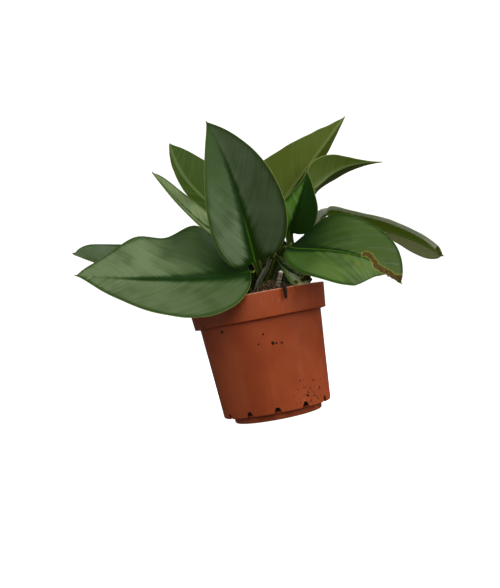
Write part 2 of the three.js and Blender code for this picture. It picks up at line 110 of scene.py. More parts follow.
def closed_rings(rings):
    """Points and faces of a body made of rings (rows, around, 3), closed with a fan at each end."""
    rows, around, _ = rings.shape
    points = np.concatenate([rings.reshape(-1, 3), rings[[0, -1]].mean(1)])
    j = np.arange(around)
    after = (j + 1) % around
    last = (rows - 1) * around
    start_fan = np.stack([np.full(around, rows * around), after, j], -1)
    end_fan = np.stack([np.full(around, rows * around + 1), last + j, last + after], -1)
    return points, ring_faces(rows, around).tolist() + start_fan.tolist() + end_fan.tolist()


def unit(v):
    """Vectors along the last axis, made one long."""
    return v / np.maximum(np.linalg.norm(v, axis=-1, keepdims=True), 1e-9)


def smooth_step(x, low, high):
    """0 below low, 1 above high, and a soft S between them."""
    u = np.clip((x - low) / (high - low), 0, 1)
    return u * u * (3 - 2 * u)


def ripples(x, y, seed, waves=6):
    """A soft uneven field, about -1 to 1: a sum of sine waves in seeded directions, about 2 pi long."""
    draw = np.random.default_rng(seed)
    total = 0
    lowest, highest = [[0], [0.6], [0]], [[np.pi], [1.6], [2 * np.pi]]
    for angle, pace, phase in zip(*draw.uniform(lowest, highest, (3, waves))):
        total = total + np.sin(pace * (x * np.cos(angle) + y * np.sin(angle)) + phase)
    return total / np.sqrt(waves * 2)


def tube(path, radii, around):
    """Rings along a path: circles square to it, whose radii may differ along the path and around it."""
    along = unit(np.gradient(path, axis=0))
    across = np.array([1.0, 0.0, 0.0])
    u = unit(across - (along @ across)[:, None] * along)
    v = np.cross(along, u)
    angle = 2 * np.pi * np.arange(around) / around
    circle = u[:, None] * np.cos(angle)[:, None] + v[:, None] * np.sin(angle)[:, None]
    return path[:, None] + np.asarray(radii)[..., None] * circle


def bezier(points, t):
    """The cubic curve of four points: a blend of them by (1-t)^3, 3(1-t)^2 t, 3(1-t) t^2 and t^3."""
    a, b, c, d = np.asarray(points, float)
    t = t[:, None]
    return (1 - t) ** 3 * a + 3 * (1 - t) ** 2 * t * b + 3 * (1 - t) * t**2 * c + t**3 * d


def spline(points, count):
    """A smooth curve through points: Catmull-Rom pieces, each a cubic of its four nearest points."""
    p = np.asarray(points, float)
    p = np.concatenate([2 * p[:1] - p[1:2], p, 2 * p[-1:] - p[-2:-1]])
    place = np.linspace(0, len(p) - 3, count)
    k = np.minimum(place.astype(int), len(p) - 4)
    u = (place - k)[:, None]
    a, b, c, d = p[k], p[k + 1], p[k + 2], p[k + 3]
    curved, twisted = 2 * a - 5 * b + 4 * c - d, 3 * b - a - 3 * c + d
    return 0.5 * (2 * b + (c - a) * u + curved * u**2 + twisted * u**3)


print("helpers for grids are ready")

# %% [markdown]
# ## Materials written as sums
#
# A material is a tree of nodes. Written out link by link it is long, so a small class wraps a socket:
# adding or multiplying two of them, or one and a number, adds the Math node. Everything else comes from
# one method, which takes a node's type, its settings and its inputs.

# %% Wires and finishes
class Wire:
    """A value on its way through a finish's nodes. Arithmetic on it adds Math nodes."""

    def __init__(self, finish, socket):
        self.finish = finish
        self.socket = socket

    def math(self, operation, *values):
        return self.finish.node("ShaderNodeMath", {"operation": operation}, dict(enumerate(values)))

    def __add__(self, other):
        return self.math("ADD", self, other)

    def __sub__(self, other):
        return self.math("SUBTRACT", self, other)

    def __rsub__(self, other):
        return self.math("SUBTRACT", other, self)

    def __mul__(self, other):
        return self.math("MULTIPLY", self, other)

    def __truediv__(self, other):
        return self.math("DIVIDE", self, other)

    def __pow__(self, other):
        return self.math("POWER", self, other)

    __radd__ = __add__
    __rmul__ = __mul__


def paint(code):
    """A colour from its web code, as the linear values that nodes use."""
    value = np.array([int(code[i:i + 2], 16) for i in (1, 3, 5)]) / 255
    linear = np.where(value <= 0.04045, value / 12.92, ((value + 0.055) / 1.055) ** 2.4)
    return (*linear.tolist(), 1.0)


class Finish:
    """A material whose nodes come from node(), and from sums and products of the wires that it gives."""

    def __init__(self, name):
        self.material = bpy.data.materials.new(name)
        self.material.use_nodes = True
        self.tree = self.material.node_tree
        self.tree.nodes.clear()

    def node(self, kind, settings=None, inputs=None, output=0):
        """Adds a node: its settings first, such as an operation or a ramp's stops, then its inputs."""
        node = self.tree.nodes.new(kind)
        for key, value in (settings or {}).items():
            if key == "stops":
                ramp = node.color_ramp.elements
                while len(ramp) < len(value):
                    ramp.new(1)
                for element, (place, colour) in zip(ramp, value):
                    element.position = place
                    element.color = paint(colour)
            else:
                setattr(node, key, value)
        for key, value in (inputs or {}).items():
            if isinstance(value, Wire):
                self.tree.links.new(value.socket, node.inputs[key])
            else:
                node.inputs[key].default_value = value
        return Wire(self, node.outputs[output]) if node.outputs else None

    def value(self, name):
        """A number that the mesh holds at each of its points."""
        return self.node("ShaderNodeAttribute", {"attribute_name": name}, output="Fac")

    def place(self, stretch=(1, 1, 1)):
        """Object coordinates in millimetres, stretched along each axis."""
        here = self.node("ShaderNodeTexCoord", output="Object")
        scale = tuple(s / MM for s in stretch)
        return self.node("ShaderNodeVectorMath", {"operation": "MULTIPLY"}, {0: here, 1: scale})

    def noise(self, where, size, detail=3.0, rough=0.55):
        """Soft noise from about 0 to 1, with lumps of about that size in the units of where."""
        inputs = {"Vector": where, "Scale": 1 / size, "Detail": detail, "Roughness": rough}
        return self.node("ShaderNodeTexNoise", {}, inputs)

    def vector(self, x, y, z):
        return self.node("ShaderNodeCombineXYZ", {}, {0: x, 1: y, 2: z})

    def step(self, value, low, high):
        """0 below low, 1 above high, smooth between; the other way round where low is above high."""
        inputs = {"Value": value, "From Min": low, "From Max": high}
        return self.node("ShaderNodeMapRange", {"interpolation_type": "SMOOTHSTEP"}, inputs)

    def mix(self, factor, under, over, kind="MIX"):
        """One colour over another; a colour is a web code or a wire."""
        under, over = [paint(c) if isinstance(c, str) else c for c in (under, over)]
        settings = {"data_type": "RGBA", "blend_type": kind}
        return self.node("ShaderNodeMix", settings, {0: factor, 6: under, 7: over}, 2)

    def grey(self, value):
        """A grey whose brightness is the value."""
        return self.node("ShaderNodeCombineColor", {}, {0: value, 1: value, 2: value})

    def surface(self, colour, roughness, height=None, depth=0.1, through=0.0, **fixed):
        """Ends the tree in a Principled shader. Height times depth is the relief in millimetres.

        through is the part of the light that passes to a leaf's other side, yellow-green."""
        inputs = {"Base Color": colour, "Roughness": roughness}
        inputs.update({key.replace("_", " "): value for key, value in fixed.items()})
        if height is not None:
            relief = {"Height": height, "Distance": depth * MM, "Strength": 1.0}
            inputs["Normal"] = self.node("ShaderNodeBump", {}, relief)
        shader = self.node("ShaderNodeBsdfPrincipled", {}, inputs)
        if through:
            passed = self.node("ShaderNodeBsdfTranslucent", {}, {"Color": paint("#e2ff8c")})
            shader = self.node("ShaderNodeMixShader", {}, {0: through, 1: shader, 2: passed})
        self.node("ShaderNodeOutputMaterial", {}, {"Surface": shader})
        return self.material


print("materials are written as sums of wires")

# %% [markdown]
# ## How a leaf is shaped
#
# A scindapsus leaf is a thick, slightly leathery blade. Its two halves rise from the midrib like a
# shallow trough, the margin swings a little, and the base is round. The formula is the one that the
# leaf solids follow: the midrib is a cubic curve, each half is an arc that leaves it at an angle, and
# how wide the half is at each place comes from powers of the distance to the base and to the tip.
#
# The table names the leaves. rib: the midrib's four curve points; face: where the top face looks, at
# the base and at the tip; wide, round, point: each half's greatest width, and how full it is at the
# base and at the tip; fold: degrees that a half rises; bend: degrees that it turns on to the margin;
# lobe: how far the base reaches back; wave, waves: how far the margin swings, how often and from where;
# bite: the half that is eaten away, from where on, and how much of it. The left half comes first
# everywhere.

# %% The leaves' table
LEAVES = {
    "leaf_front_upright": dict(
        stem="stem_front", foot=109, lead=0.12, stalk=2.8,
        rib=[[4.6, -44, 132], [3, -54, 160], [1, -66, 206], [-13.2, -46, 251.4]],
        face=[[0.15, -1, 0.1], [0.15, -1, 0.2]],
        wide=[32, 35.5], round=[0.6, 0.6], point=[1.05, 0.9],
        fold=[14, 14], fold_tip=[20, 14], lobe=[15, 7], wave=[1, 1], waves=[1.5, 0.2]),
    "leaf_front_left": dict(
        stem="stem_left", foot=106.5, lead=0.1, stalk=2.8,
        rib=[[-1, -40, 124.6], [-35, -56, 122], [-90, -74, 132], [-134.6, -80, 144.3]],
        face=[[0, -0.72, 0.66], [0, -0.72, 0.7]],
        wide=[45, 49], round=[0.9, 0.45], point=[1.25, 0.8],
        fold=[0, 14], lobe=[2, 2], wave=[0.5, 6], waves=[2.45, 0.52]),
    "leaf_far_left": dict(
        stem="stem_left", foot=116,
        rib=[[-40, 16, 136], [-76, 8, 139], [-123, -4, 156], [-147.4, -10, 168.8]],
        face=[[0, -0.57, 0.82], [0, -0.57, 0.82]],
        wide=[14, 32], round=[0.5, 0.5], point=[1.2, 0.5],
        fold=[5, 5], lobe=[8, 8], wave=[1, 1], waves=[2, 0.2]),
    "leaf_upper_left": dict(
        stem="stem_middle", foot=121,
        rib=[[2, 24, 152], [-12, 30, 190], [-49, 44, 208], [-53.8, 60, 262.5]],
        face=[[-0.75, 0.6, -0.4], [-0.5, 0.85, -0.4]],
        wide=[54, 12], round=[0.75, 0.65], point=[0.6, 0.9],
        fold=[5, 10], lobe=[8, 8], wave=[1, 1], waves=[2, 0.2]),
    "leaf_side_left": dict(
        stem="stem_left", foot=122,
        rib=[[-14, 0, 158], [-29, -4, 163], [-52, -4, 198], [-69.4, 6, 228.4]],
        face=[[0.8, -0.1, 0.6], [0.8, -0.1, 0.6]],
        wide=[14, 21.5], round=[0.35, 0.5], point=[1.1, 0.55],
        fold=[-10, 25], lobe=[4, 4], wave=[0, 0.5], waves=[2, 0.2]),
    "leaf_upper_right": dict(
        stem="stem_middle", foot=129,
        rib=[[16, 16, 160], [34, 16, 180], [77, 30, 219], [114, 60, 256.7]],
        face=[[-0.2, 0.9, -0.1], [-0.2, 0.9, -0.1]],
        wide=[24, 41.5], round=[0.55, 0.4], point=[0.95, 1.1],
        fold=[58, 5], lobe=[8, 8], wave=[1, 1], waves=[2, 0.2]),
    "leaf_right_out": dict(
        stem="stem_right", foot=121.5, lead=0.12, stalk=4.2,
        rib=[[67.8, 14, 189.1], [83, 30, 197], [96, 64, 217], [144.1, 84, 211.5]],
        face=[[-0.3, 0.75, 0.5], [-0.1, 0.5, 0.8]],
        wide=[24, 21], round=[1.55, 0.6], point=[1.5, 1.6],
        fold=[20, 30], lobe=[8, 6], wave=[0.5, 0.5], waves=[2, 0.2]),
    "leaf_inner_right": dict(
        stem="stem_right", foot=111, lead=0.12,
        rib=[[39.3, 1, 154.6], [46.4, -4, 164.6], [56.4, -3, 185.7], [64.5, 3, 204.4]],
        face=[[0.1, -0.95, 0.2], [0.1, -0.95, 0.2]],
        wide=[20.5, 19.5], round=[0.3, 0.55], point=[1.45, 1.15],
        fold=[15, 15], lobe=[2, 0], wave=[0.5, 0.5], waves=[2, 0.2]),
    "leaf_front_right": dict(
        stem="stem_middle", foot=116, lead=0.15,
        rib=[[35, -24, 140], [44, -34, 131], [92, -52, 133], [114.9, -62, 91.7]],
        face=[[0.2, -0.7, 0.7], [0.3, -0.7, 0.6]],
        wide=[41.5, 40], round=[0.8, 1], point=[0.8, 0.6],
        fold=[12, 0], lobe=[-3, 15], wave=[1, 1], waves=[2, 0.2], bite=[1, 0.8, 0.85]),
    "leaf_drooping_right": dict(
        stem="stem_back_right", foot=111, lead=0.15, stalk=6.5,
        rib=[[76, 24, 166], [101, 28, 152], [146, 24, 136], [167.2, 10, 109.4]],
        face=[[0.3, 0.45, 0.85], [0.3, 0.6, 0.7]],
        wide=[26, 16.5], round=[3, 0.2], point=[0.8, 0.45],
        fold=[20, 10], bend=[-4, -21], lobe=[4, 4], wave=[0.5, 0.5], waves=[2, 0.2]),
    "leaf_small_rim": dict(
        stem="stem_front", foot=115.5, lead=0.12, stalk=2.2,
        rib=[[22, -18, 135], [31, -25, 118], [38, -31, 113], [47, -33, 110]],
        face=[[-0.3, -0.8, 0.4], [0.2, -0.9, 0.3]],
        wide=[9, 12.5], round=[0.7, 1.45], point=[0.5, 0.25],
        fold=[5, 5], lobe=[0, 0], wave=[0.5, 0.5], waves=[2, 0.2]),
    "leaf_back_left": dict(
        stem="stem_left", foot=108,
        rib=[[-21, 42, 128], [-42, 60, 137], [-76, 88, 137], [-101, 104, 116]],
        face=[[-0.2, 0.1, 0.95], [-0.2, 0.3, 0.95]],
        wide=[33, 33], round=[0.5, 0.5], point=[0.9, 0.9],
        fold=[10, 10], lobe=[8, 8], wave=[1, 1], waves=[2, 0.2]),
    "leaf_back": dict(
        stem="stem_middle", foot=113,
        rib=[[14, 42, 106], [13, 50, 124], [12, 58, 150], [14, 62, 182]],
        face=[[0, 1, -0.3], [0, 1, -0.3]],
        wide=[33, 21], round=[0.5, 0.5], point=[0.9, 0.9],
        fold=[10, 10], lobe=[8, 8], wave=[1, 1], waves=[2, 0.2]),
}

STEMS = {
    "stem_left": dict(at=[-7, 2], top=130, lean=[-0.04, 0.03]),
    "stem_middle": dict(at=[14, 10], top=133, lean=[0.02, 0.05]),
    "stem_right": dict(at=[41, 10], top=129, lean=[0.05, 0.04]),
    "stem_back_right": dict(at=[42, 25], top=124, lean=[0.04, 0.02]),
    "stem_front": dict(at=[9, -14], top=122, lean=[0.02, -0.04]),
}
SOIL_LEVEL = 102
print(len(LEAVES), "leaves on", len(STEMS), "stems")

# %% [markdown]
# The blade's grid is finer near the midrib and near the margin, where the groove and the rolled edge
# are. Each point also keeps a few lengths in millimetres that the material reads: how far it is from
# the midrib and from the margin, and at which place on the midrib its side vein starts. Side veins
# leave the midrib at a slant and bend towards the tip, so that place lies further back the further out
# the point is.

# %% A leaf's middle surface
BLADE_ROWS = 112
STALK_ROWS = 36
TIP_ROWS = 8
CROWDING = 1.35
BLADE_SPAN = (0.004, 0.996)
NARROWEST = 0.6
WAVE_LAG = 1.3
BITE_SLOPE = 0.12
COCKLE = 0.35
MARGIN_WANDER = 0.25
HALF_COLUMNS = np.array([0, 0.012, 0.03, 0.055, 0.09, 0.14, 0.2, 0.28, 0.37, 0.47, 0.57, 0.67, 0.76, 0.84,
                         0.9, 0.945, 0.975, 0.992, 1])
ACROSS = np.concatenate([-HALF_COLUMNS[:0:-1], HALF_COLUMNS])
MIDDLE = len(HALF_COLUMNS) - 1
VEIN_SLANT = 0.9
VEIN_BEND = 0.025


def sides(values):
    """A pair of values, left and right, spread over the columns of the grid."""
    return np.where(ACROSS < 0, values[0], values[1])


def fullness(t, round_, point):
    """How wide a half is at t as a part of its widest: t^round (1-t)^point, scaled to reach 1."""
    peak = round_**round_ * point**point / (round_ + point) ** (round_ + point)
    return t**round_ * (1 - t) ** point / peak


def blade_grid(leaf, seed):
    """Points (rows, columns, 3) of the blade's middle surface, and the lengths that the material reads.

    A point lies at distance d from the midrib on an arc that leaves it at the fold's angle and turns by
    bend over the half's width. A sine wave grows towards the margin, and lobes slide the base's outer parts
    back. Seeded ripples cockle the blade and let its margin wander a little."""
    share = np.linspace(0, 1, BLADE_ROWS) ** CROWDING
    t = BLADE_SPAN[0] + (BLADE_SPAN[1] - BLADE_SPAN[0]) * share
    rib = bezier(leaf["rib"], t)
    along = unit(np.gradient(rib, axis=0))
    face_base, face_tip = unit(np.array(leaf["face"], float))
    face = face_base + (face_tip - face_base) * t[:, None]
    up = unit(face - (face * along).sum(-1, keepdims=True) * along)
    across = np.cross(along, up)
    strides = np.linalg.norm(np.diff(rib, axis=0), axis=-1)
    length = np.concatenate([[0], np.cumsum(strides)])
    t = t[:, None]
    wide = sides(leaf["wide"])
    full = fullness(t, sides(leaf["round"]), sides(leaf["point"]))
    if "bite" in leaf:
        side, start, depth = leaf["bite"]
        coarse = ripples(length[:, None] * 1.3, 0, seed + 5)
        jagged = 0.12 * coarse + 0.05 * ripples(length[:, None] * 4, 0, seed)
        eaten = depth * smooth_step(t, start, start + BITE_SLOPE)
        full = full * np.where(ACROSS * side > 0, 1 - eaten * (1 + jagged), 1)
    reach = np.hypot(wide * full, NARROWEST)
    d = np.abs(ACROSS) * reach
    fold_tip = leaf.get("fold_tip", leaf["fold"])
    fold = np.radians(sides(leaf["fold"]) * (1 - t) + sides(fold_tip) * t)
    turn = np.radians(sides(leaf.get("bend", [0, 0])) + 0.01) / wide
    out = (np.sin(fold + turn * d) - np.sin(fold)) / turn
    lift = (np.cos(fold) - np.cos(fold + turn * d)) / turn
    count, start = leaf["waves"]
    swing = 2 * np.pi * (count * t + start) + sides([WAVE_LAG, 0])
    lift = lift + sides(leaf["wave"]) * ACROSS**2 * full * np.sin(swing)
    back = sides(leaf["lobe"]) * (d / wide) * (1 - t) ** 3
    where = length[:, None] + 0 * d
    far = np.sign(ACROSS) * d
    lift = lift + COCKLE * smooth_step(d, 2, 14) * ripples(where / 9, far / 7, seed)
    wander = ripples(where / 3.5, sides([0, 9]), seed + 1)
    out = out + MARGIN_WANDER * smooth_step(d - reach, -3, 0) * wander
    grid = rib[:, None] + across[:, None] * (np.sign(ACROSS) * out)[..., None]
    grid = grid + up[:, None] * lift[..., None] - along[:, None] * back[..., None]
    vein = where - VEIN_SLANT * d - VEIN_BEND * d**2
    return grid, dict(along=t + 0 * d, rib=far, margin=reach - d, vein=vein, lengthwise=where)


def stem_point(stem, height):
    """The point of a stem's axis at a height."""
    x, y = np.array(stem["at"]) + np.array(stem["lean"]) * (height - SOIL_LEVEL)
    return np.array([x, y, height])


STALK = dict(half_width=3.1, flare=0.6, rise=0.35, lead=0.3, channel=1.3, thickness=1.5, keel=1.2,
             shoulder=1.2)


def stalk_curve(leaf):
    """The petiole's four curve points: up and out from the stem, then into line with the midrib."""
    base, after = np.array(leaf["rib"][:2], float)
    foot = stem_point(STEMS[leaf["stem"]], leaf["foot"])
    reach = np.linalg.norm(base - foot)
    outward = unit((base - foot) * [1, 1, 0])
    rise = unit(outward + [0, 0, 1])
    lead = leaf.get("lead", STALK["lead"]) * reach
    return [foot, foot + rise * STALK["rise"] * reach, base + unit(base - after) * lead, base]


def stalk_grid(leaf):
    """The petiole's middle surface: a strip along its curve, hollowed to a channel by a parabola."""
    t = np.linspace(0, 1, STALK_ROWS, endpoint=False)
    axis = bezier(stalk_curve(leaf), t)
    along = unit(np.gradient(axis, axis=0))
    face = unit(np.array(leaf["face"][0], float))
    up = unit(face - (along @ face)[:, None] * along)
    across = np.cross(along, up)
    half = leaf.get("stalk", STALK["half_width"])
    half = half + STALK["flare"] * (1 - t) + STALK["shoulder"] * t**12
    grid = axis[:, None] + across[:, None] * (ACROSS * half[:, None])[..., None]
    return grid + up[:, None] * (STALK["channel"] * ACROSS**2)[None, :, None], half


longest = blade_grid(LEAVES["leaf_front_left"], 1)[1]["lengthwise"].max()
print("the front left blade is", round(float(longest)), "mm long")

# %% [markdown]
# A leaf has two faces, so the middle surface gets a thickness: the top face lies above it and the
# underside below, and both run out to nothing at the margin, which gives the leaf its rounded rim. The
# midrib is a groove on top and a ridge below, the petiole has a keel, and the tip ends in the small
# dark point that these leaves have.

# %% A leaf with two faces
BLADE_HALF = 0.42
RIDGE = 1.1
RIDGE_WIDTH = 2.6
GROOVE = 0.32
GROOVE_WIDTH = 0.9
RIM_ROUNDING = 0.8
POINT = dict(length=2.2, taper=0.85, droop=0.5, thickness=0.25)
UNMARKED = -20


def leaf_rings(leaf, seed):
    """Rings round a leaf from its petiole's foot to its tip, and the material's values at each point.

    Above and below the middle surface, the thickness is a quarter circle at the rim. The groove and the
    ridge at the midrib are bell curves that fade towards the tip."""
    blade, lengths = blade_grid(leaf, seed)
    stalk, stalk_half = stalk_grid(leaf)
    ahead = unit(blade[-1, MIDDLE] - blade[-3, MIDDLE])
    droop = unit(np.cross(blade[-1, -1] - blade[-1, 0], ahead))
    far = np.linspace(0, 1, TIP_ROWS + 1)[1:, None, None]
    centre = blade[-1].mean(0)
    tip = centre + (blade[-1] - centre) * (1 - POINT["taper"] * far)
    tip = tip + ahead * POINT["length"] * far + droop * POINT["droop"] * far**2
    middle = np.concatenate([stalk, blade, tip])
    normal = unit(np.cross(np.gradient(middle, axis=1), np.gradient(middle, axis=0)))
    rows = len(middle)
    a = np.abs(ACROSS)
    t = lengths["along"]
    d = np.abs(lengths["rib"])
    rim = np.sqrt(1 - (1 - np.clip(lengths["margin"] / RIM_ROUNDING, 0, 1)) ** 2)
    groove = GROOVE * (1 - t) ** 0.6 * np.exp(-((d / GROOVE_WIDTH) ** 2)) * smooth_step(t, 0, 0.05)
    ridge = RIDGE * (1 - t) * np.exp(-((d / RIDGE_WIDTH) ** 2))
    stalk_rim = np.sqrt(1 - a**6)
    stalk_above = STALK["thickness"] / 2 * stalk_rim
    stalk_below = stalk_above + STALK["keel"] * (1 - a**2)
    point_half = np.tile(POINT["thickness"] * np.sqrt(1 - a**2), (TIP_ROWS, 1))
    stalk_above, stalk_below = [np.tile(half, (len(stalk), 1)) for half in (stalk_above, stalk_below)]
    above = np.concatenate([stalk_above, BLADE_HALF * rim - groove, point_half])
    below = np.concatenate([stalk_below, BLADE_HALF * rim + ridge, point_half])
    top = middle + normal * above[..., None]
    under = middle - normal * below[..., None]
    rings = np.concatenate([top, under[:, -2:0:-1]], 1)

    def spread(before, values, after):
        """Values for the petiole, the blade and the point, carried round each ring."""
        full = np.concatenate([np.broadcast_to(before, stalk.shape[:2]), values,
                               np.broadcast_to(after, tip.shape[:2])])
        return np.concatenate([full, full[:, -2:0:-1]], 1)

    columns = len(ACROSS)
    beneath = np.zeros((rows, rings.shape[1]))
    beneath[:, columns:] = 1
    beneath[:, [0, columns - 1]] = 0.5
    green = np.concatenate([np.linspace(0, 1, len(stalk)) ** 4, np.ones(len(blade) + TIP_ROWS)])
    values = dict(
        along=spread(0, lengths["along"], 1),
        rib=spread(ACROSS * stalk_half[:, None], lengths["rib"], ACROSS * NARROWEST),
        margin=spread((1 - a) * stalk_half[:, None], lengths["margin"], 0),
        vein=spread(UNMARKED, lengths["vein"], lengths["vein"].max()),
        beneath=beneath,
        blade=np.repeat(green[:, None], rings.shape[1], 1),
        mucro=spread(0, np.zeros(blade.shape[:2]), np.linspace(0.4, 1, TIP_ROWS)[:, None]),
        decay=spread(UNMARKED, decay_field(leaf, lengths), UNMARKED),
    )
    return rings, values


def decay_field(leaf, lengths):
    """How deep a point lies in dead tissue: the most that any of the leaf's spots reaches past it."""
    depth = np.full(lengths["rib"].shape, float(UNMARKED))
    for t, side, radius in leaf.get("spots", []):
        at = np.interp(t, lengths["along"][:, 0], lengths["lengthwise"][:, 0])
        away = np.hypot(lengths["lengthwise"] - at, lengths["rib"] - side)
        depth = np.maximum(depth, radius - away)
    return depth


LEAVES["leaf_front_right"]["spots"] = [
    (0.71, -3, 1.0), (0.72, -5, 1.3), (0.74, -4.5, 1.8), (0.76, -4, 1.4), (0.78, -2, 0.8),
    (0.8, -0.5, 1.8), (0.825, 2.7, 2.3), (0.85, 2.7, 2.6), (0.87, 2.8, 2.7), (0.89, 2, 2.5),
    (0.92, 1.2, 2.3), (0.94, 0.8, 2.1), (0.965, 0, 2.4), (0.98, -2, 2.8), (0.98, -4.5, 1.6),
    (1.0, 0, 2.0), (0.71, 10.5, 0.6)]
LEAVES["leaf_drooping_right"]["spots"] = [
    (0.955, 3, 1.5), (0.985, 0, 1.6), (0.95, 6.5, 0.9), (1.0, 0, 2.0)]
LEAVES["leaf_small_rim"]["spots"] = [(0.69, 7, 0.6), (0.82, 3, 1.2), (0.91, 0.5, 1.8), (1.0, 0, 2.0)]
print("dead spots are on", sum("spots" in leaf for leaf in LEAVES.values()), "leaves")

# %% [markdown]
# ## The leaf's finish
#
# The top face is silvery grey-green. A dark green zone follows the midrib, feathered where it runs out
# along the side veins, the outermost stripe is plainer green, and the very edge is a thin pale line.
# The underside is plain olive with a paler midrib. All of it is a function of the lengths that the mesh
# holds, so it follows the leaf however it bends. Side veins also give a low relief, which shows in the
# gloss.
#
# The leaves of one plant differ. A young leaf is bright green and has hardly any silver, and an old one is
# greyer. So one function builds the tree of nodes, and each kind of leaf gives it other colours and other
# amounts for its two halves. Light and shade are painted into these colours as well: a half that faces
# away from the light is painted darker, a stretch near the base is painted as dark as the middle for the
# shadow of the leaves in front, pale streaks along the side veins are painted highlights, and on a drooping
# leaf's underside one half is painted light. Round spots of dead tissue run together into a ragged brown
# margin, with a yellow seam round it.

# %% Leaf materials
def leaf_finish(name, silver="#71895f", green="#33521a", dark="#0e3500", under="#4b5c1a",
                base=(1.0, 1.0), tip=(0.9, 0.9), shade=(1.0, 1.0), shadow=(0.05, 0.05), zone=7.0,
                line=0.0, painted_lit_underside=None, through=0.15, shine=0.12):
    """A leaf's material. A pair is for the left and the right half.

    silver, green, dark: the top face's stripes, its plainer parts and the zone at the midrib; under: the
    underside; base, tip: how silvery each half is there; shade: how bright each half is painted, painted
    shade below 1 and painted light above it; shadow: up to which part of the length it is as dark as the
    middle, a painted shadow of the leaves in front; zone: how far the dark middle reaches from the midrib
    at the base, in millimetres; line: up to which part of the length the midrib is a bright line;
    painted_lit_underside: the colour painted on the left half of an underside as the light that falls on
    it, while the right margin, rolled over, shows a strip of the top face's silver painted up to a
    near-white highlight; through: how much light passes the leaf; shine: how strongly the face mirrors."""
    f = Finish(name)
    along, rib, margin, vein = [f.value(key) for key in ("along", "rib", "margin", "vein")]
    beneath, blade, mucro, decay = [f.value(key) for key in ("beneath", "blade", "mucro", "decay")]
    out = rib.math("ABSOLUTE", rib)
    right = f.step(rib, -0.5, 0.5)
    streak = f.noise(f.vector(vein * 0.35, rib * 0.03, along), 1.0, 3.0)
    gleam = f.noise(f.vector(vein * 0.28, rib * 0.03, along + 7), 1.0, 2.0)
    thread = f.noise(f.vector(vein * 1.3, rib * 0.06, along * 3), 1.0, 3.0)
    patch = f.noise(f.place(), 26, 2.0)
    fine = f.noise(f.place(), 0.5, 2.0)
    half_zone = (1 - along) ** 1.4 * zone + 0.35
    off_rib = f.step((out + (thread - 0.5) * 4 + (streak - 0.5) * 3) / half_zone, 0.4, 1.6)
    off_rib = off_rib.math("MAXIMUM", off_rib, f.step(along, 0.65, 0.95) * 0.8)
    off_edge = f.step(margin + (streak - 0.5) * 4, 0.8, 5.0)
    # Near the base each half is painted as dark as the middle, up to its shadow share: a painted shadow of
    # the leaves in front. Past it, and outside the dark zone, the face takes its silver.
    reach = right * shadow[1] + (1 - right) * shadow[0]
    clear_of_zone_and_painted_shadow = f.step((along + (streak - 0.5) * 0.16) / reach, 0.4, 1.1) * off_rib
    part = f.step(along, 0.15, 0.85)
    amount = right * (base[1] + part * (tip[1] - base[1]))
    amount = amount + (1 - right) * (base[0] + part * (tip[0] - base[0]))
    cloud = f.step(patch + streak * 0.7 + thread * 0.3, 0.7, 1.2)
    top = f.mix(clear_of_zone_and_painted_shadow, dark, green)
    top = f.mix(clear_of_zone_and_painted_shadow * off_edge * (0.4 + cloud * 0.6) * amount, top, silver)
    # Pale streaks along the side veins, brighter where the face is more silvery: a painted highlight.
    painted_glints = f.step(gleam, 0.5, 0.75) * clear_of_zone_and_painted_shadow * off_edge * amount * amount
    top = f.mix(painted_glints * 0.2, top, "#9dae93")
    top = f.mix(f.step(patch, 0.5, 0.3) * clear_of_zone_and_painted_shadow * 0.25, top, "#4a4f34")
    top = f.mix(f.step(thread, 0.66, 0.8) * clear_of_zone_and_painted_shadow * 0.2, top, dark)
    midrib = f.step(out, 1.0, 0.4) * f.step(along, line + 0.12, line - 0.1)
    top = f.mix(midrib * 0.7, top, "#5f9420")
    # Each half is painted darker or lighter by its shade, blending across the midrib: painted shade and
    # painted light.
    across = f.step(rib, -9, 9)
    tone = across * shade[1] + (1 - across) * shade[0]
    top = f.mix(1.0, top, f.grey(tone), "MULTIPLY")
    below = f.mix(f.step(out, 2.6, 0.6) * 0.4, under, "#84925a")
    below = f.mix(f.step(streak, 0.4, 0.75) * 0.3, below, "#66763a")
    # The left half of a drooping leaf's underside is painted light, as if the lamp fell on it. The
    # rolled-over right margin is the top face's silver, painted up to a near-white highlight.
    if painted_lit_underside:
        painted_lit_half = (1 - right) * f.step(out, 0.5, 2.0) * (0.55 + thread * 0.5)
        below = f.mix(painted_lit_half, below, painted_lit_underside)
        rolled_hem_and_highlight = right * f.step(margin + (thread - 0.5) * 3, 6.0, 4.5) * (0.7 + thread * 0.5)
        below = f.mix(rolled_hem_and_highlight, below, "#fbfcf6")
    skin = f.mix(beneath, top, below)
    skin = f.mix(1.0, skin, f.grey(0.86 + thread * 0.14 + streak * 0.14), "MULTIPLY")
    stalk = f.mix(f.step(fine, 0.35, 0.7), "#333f16", "#4a5827")
    skin = f.mix(blade, stalk, skin)
    skin = f.mix(f.step(margin, 0.6, 0.15) * (0.2 + blade * 0.4), skin, "#a5b05c")
    ragged = decay + 0.5 + (f.noise(f.place(), 1.6, 4.0) - 0.5) * 3.2
    skin = f.mix(f.step(ragged, -1.3, -0.3) * 0.75, skin, "#aca23f")
    dead = f.mix(f.step(f.noise(f.place(), 1.2, 3.0), 0.3, 0.7), "#2c200b", "#6f5a2e")
    skin = f.mix(f.step(ragged, -0.4, 0.0), skin, dead)
    skin = f.mix(mucro, skin, "#2b2417")
    ridges = f.node("ShaderNodeMath", {"operation": "SINE"}, {0: vein * 1.9 + streak * 2.5})
    relief = ridges * 0.12 + streak * 0.7 + thread * 0.4 + fine * 0.08
    gloss = 0.42 + streak * 0.14 + f.step(ragged, -1, 0) * 0.35 + beneath * 0.1
    return f.surface(skin, gloss, relief, 0.12, through, Specular_IOR_Level=shine)
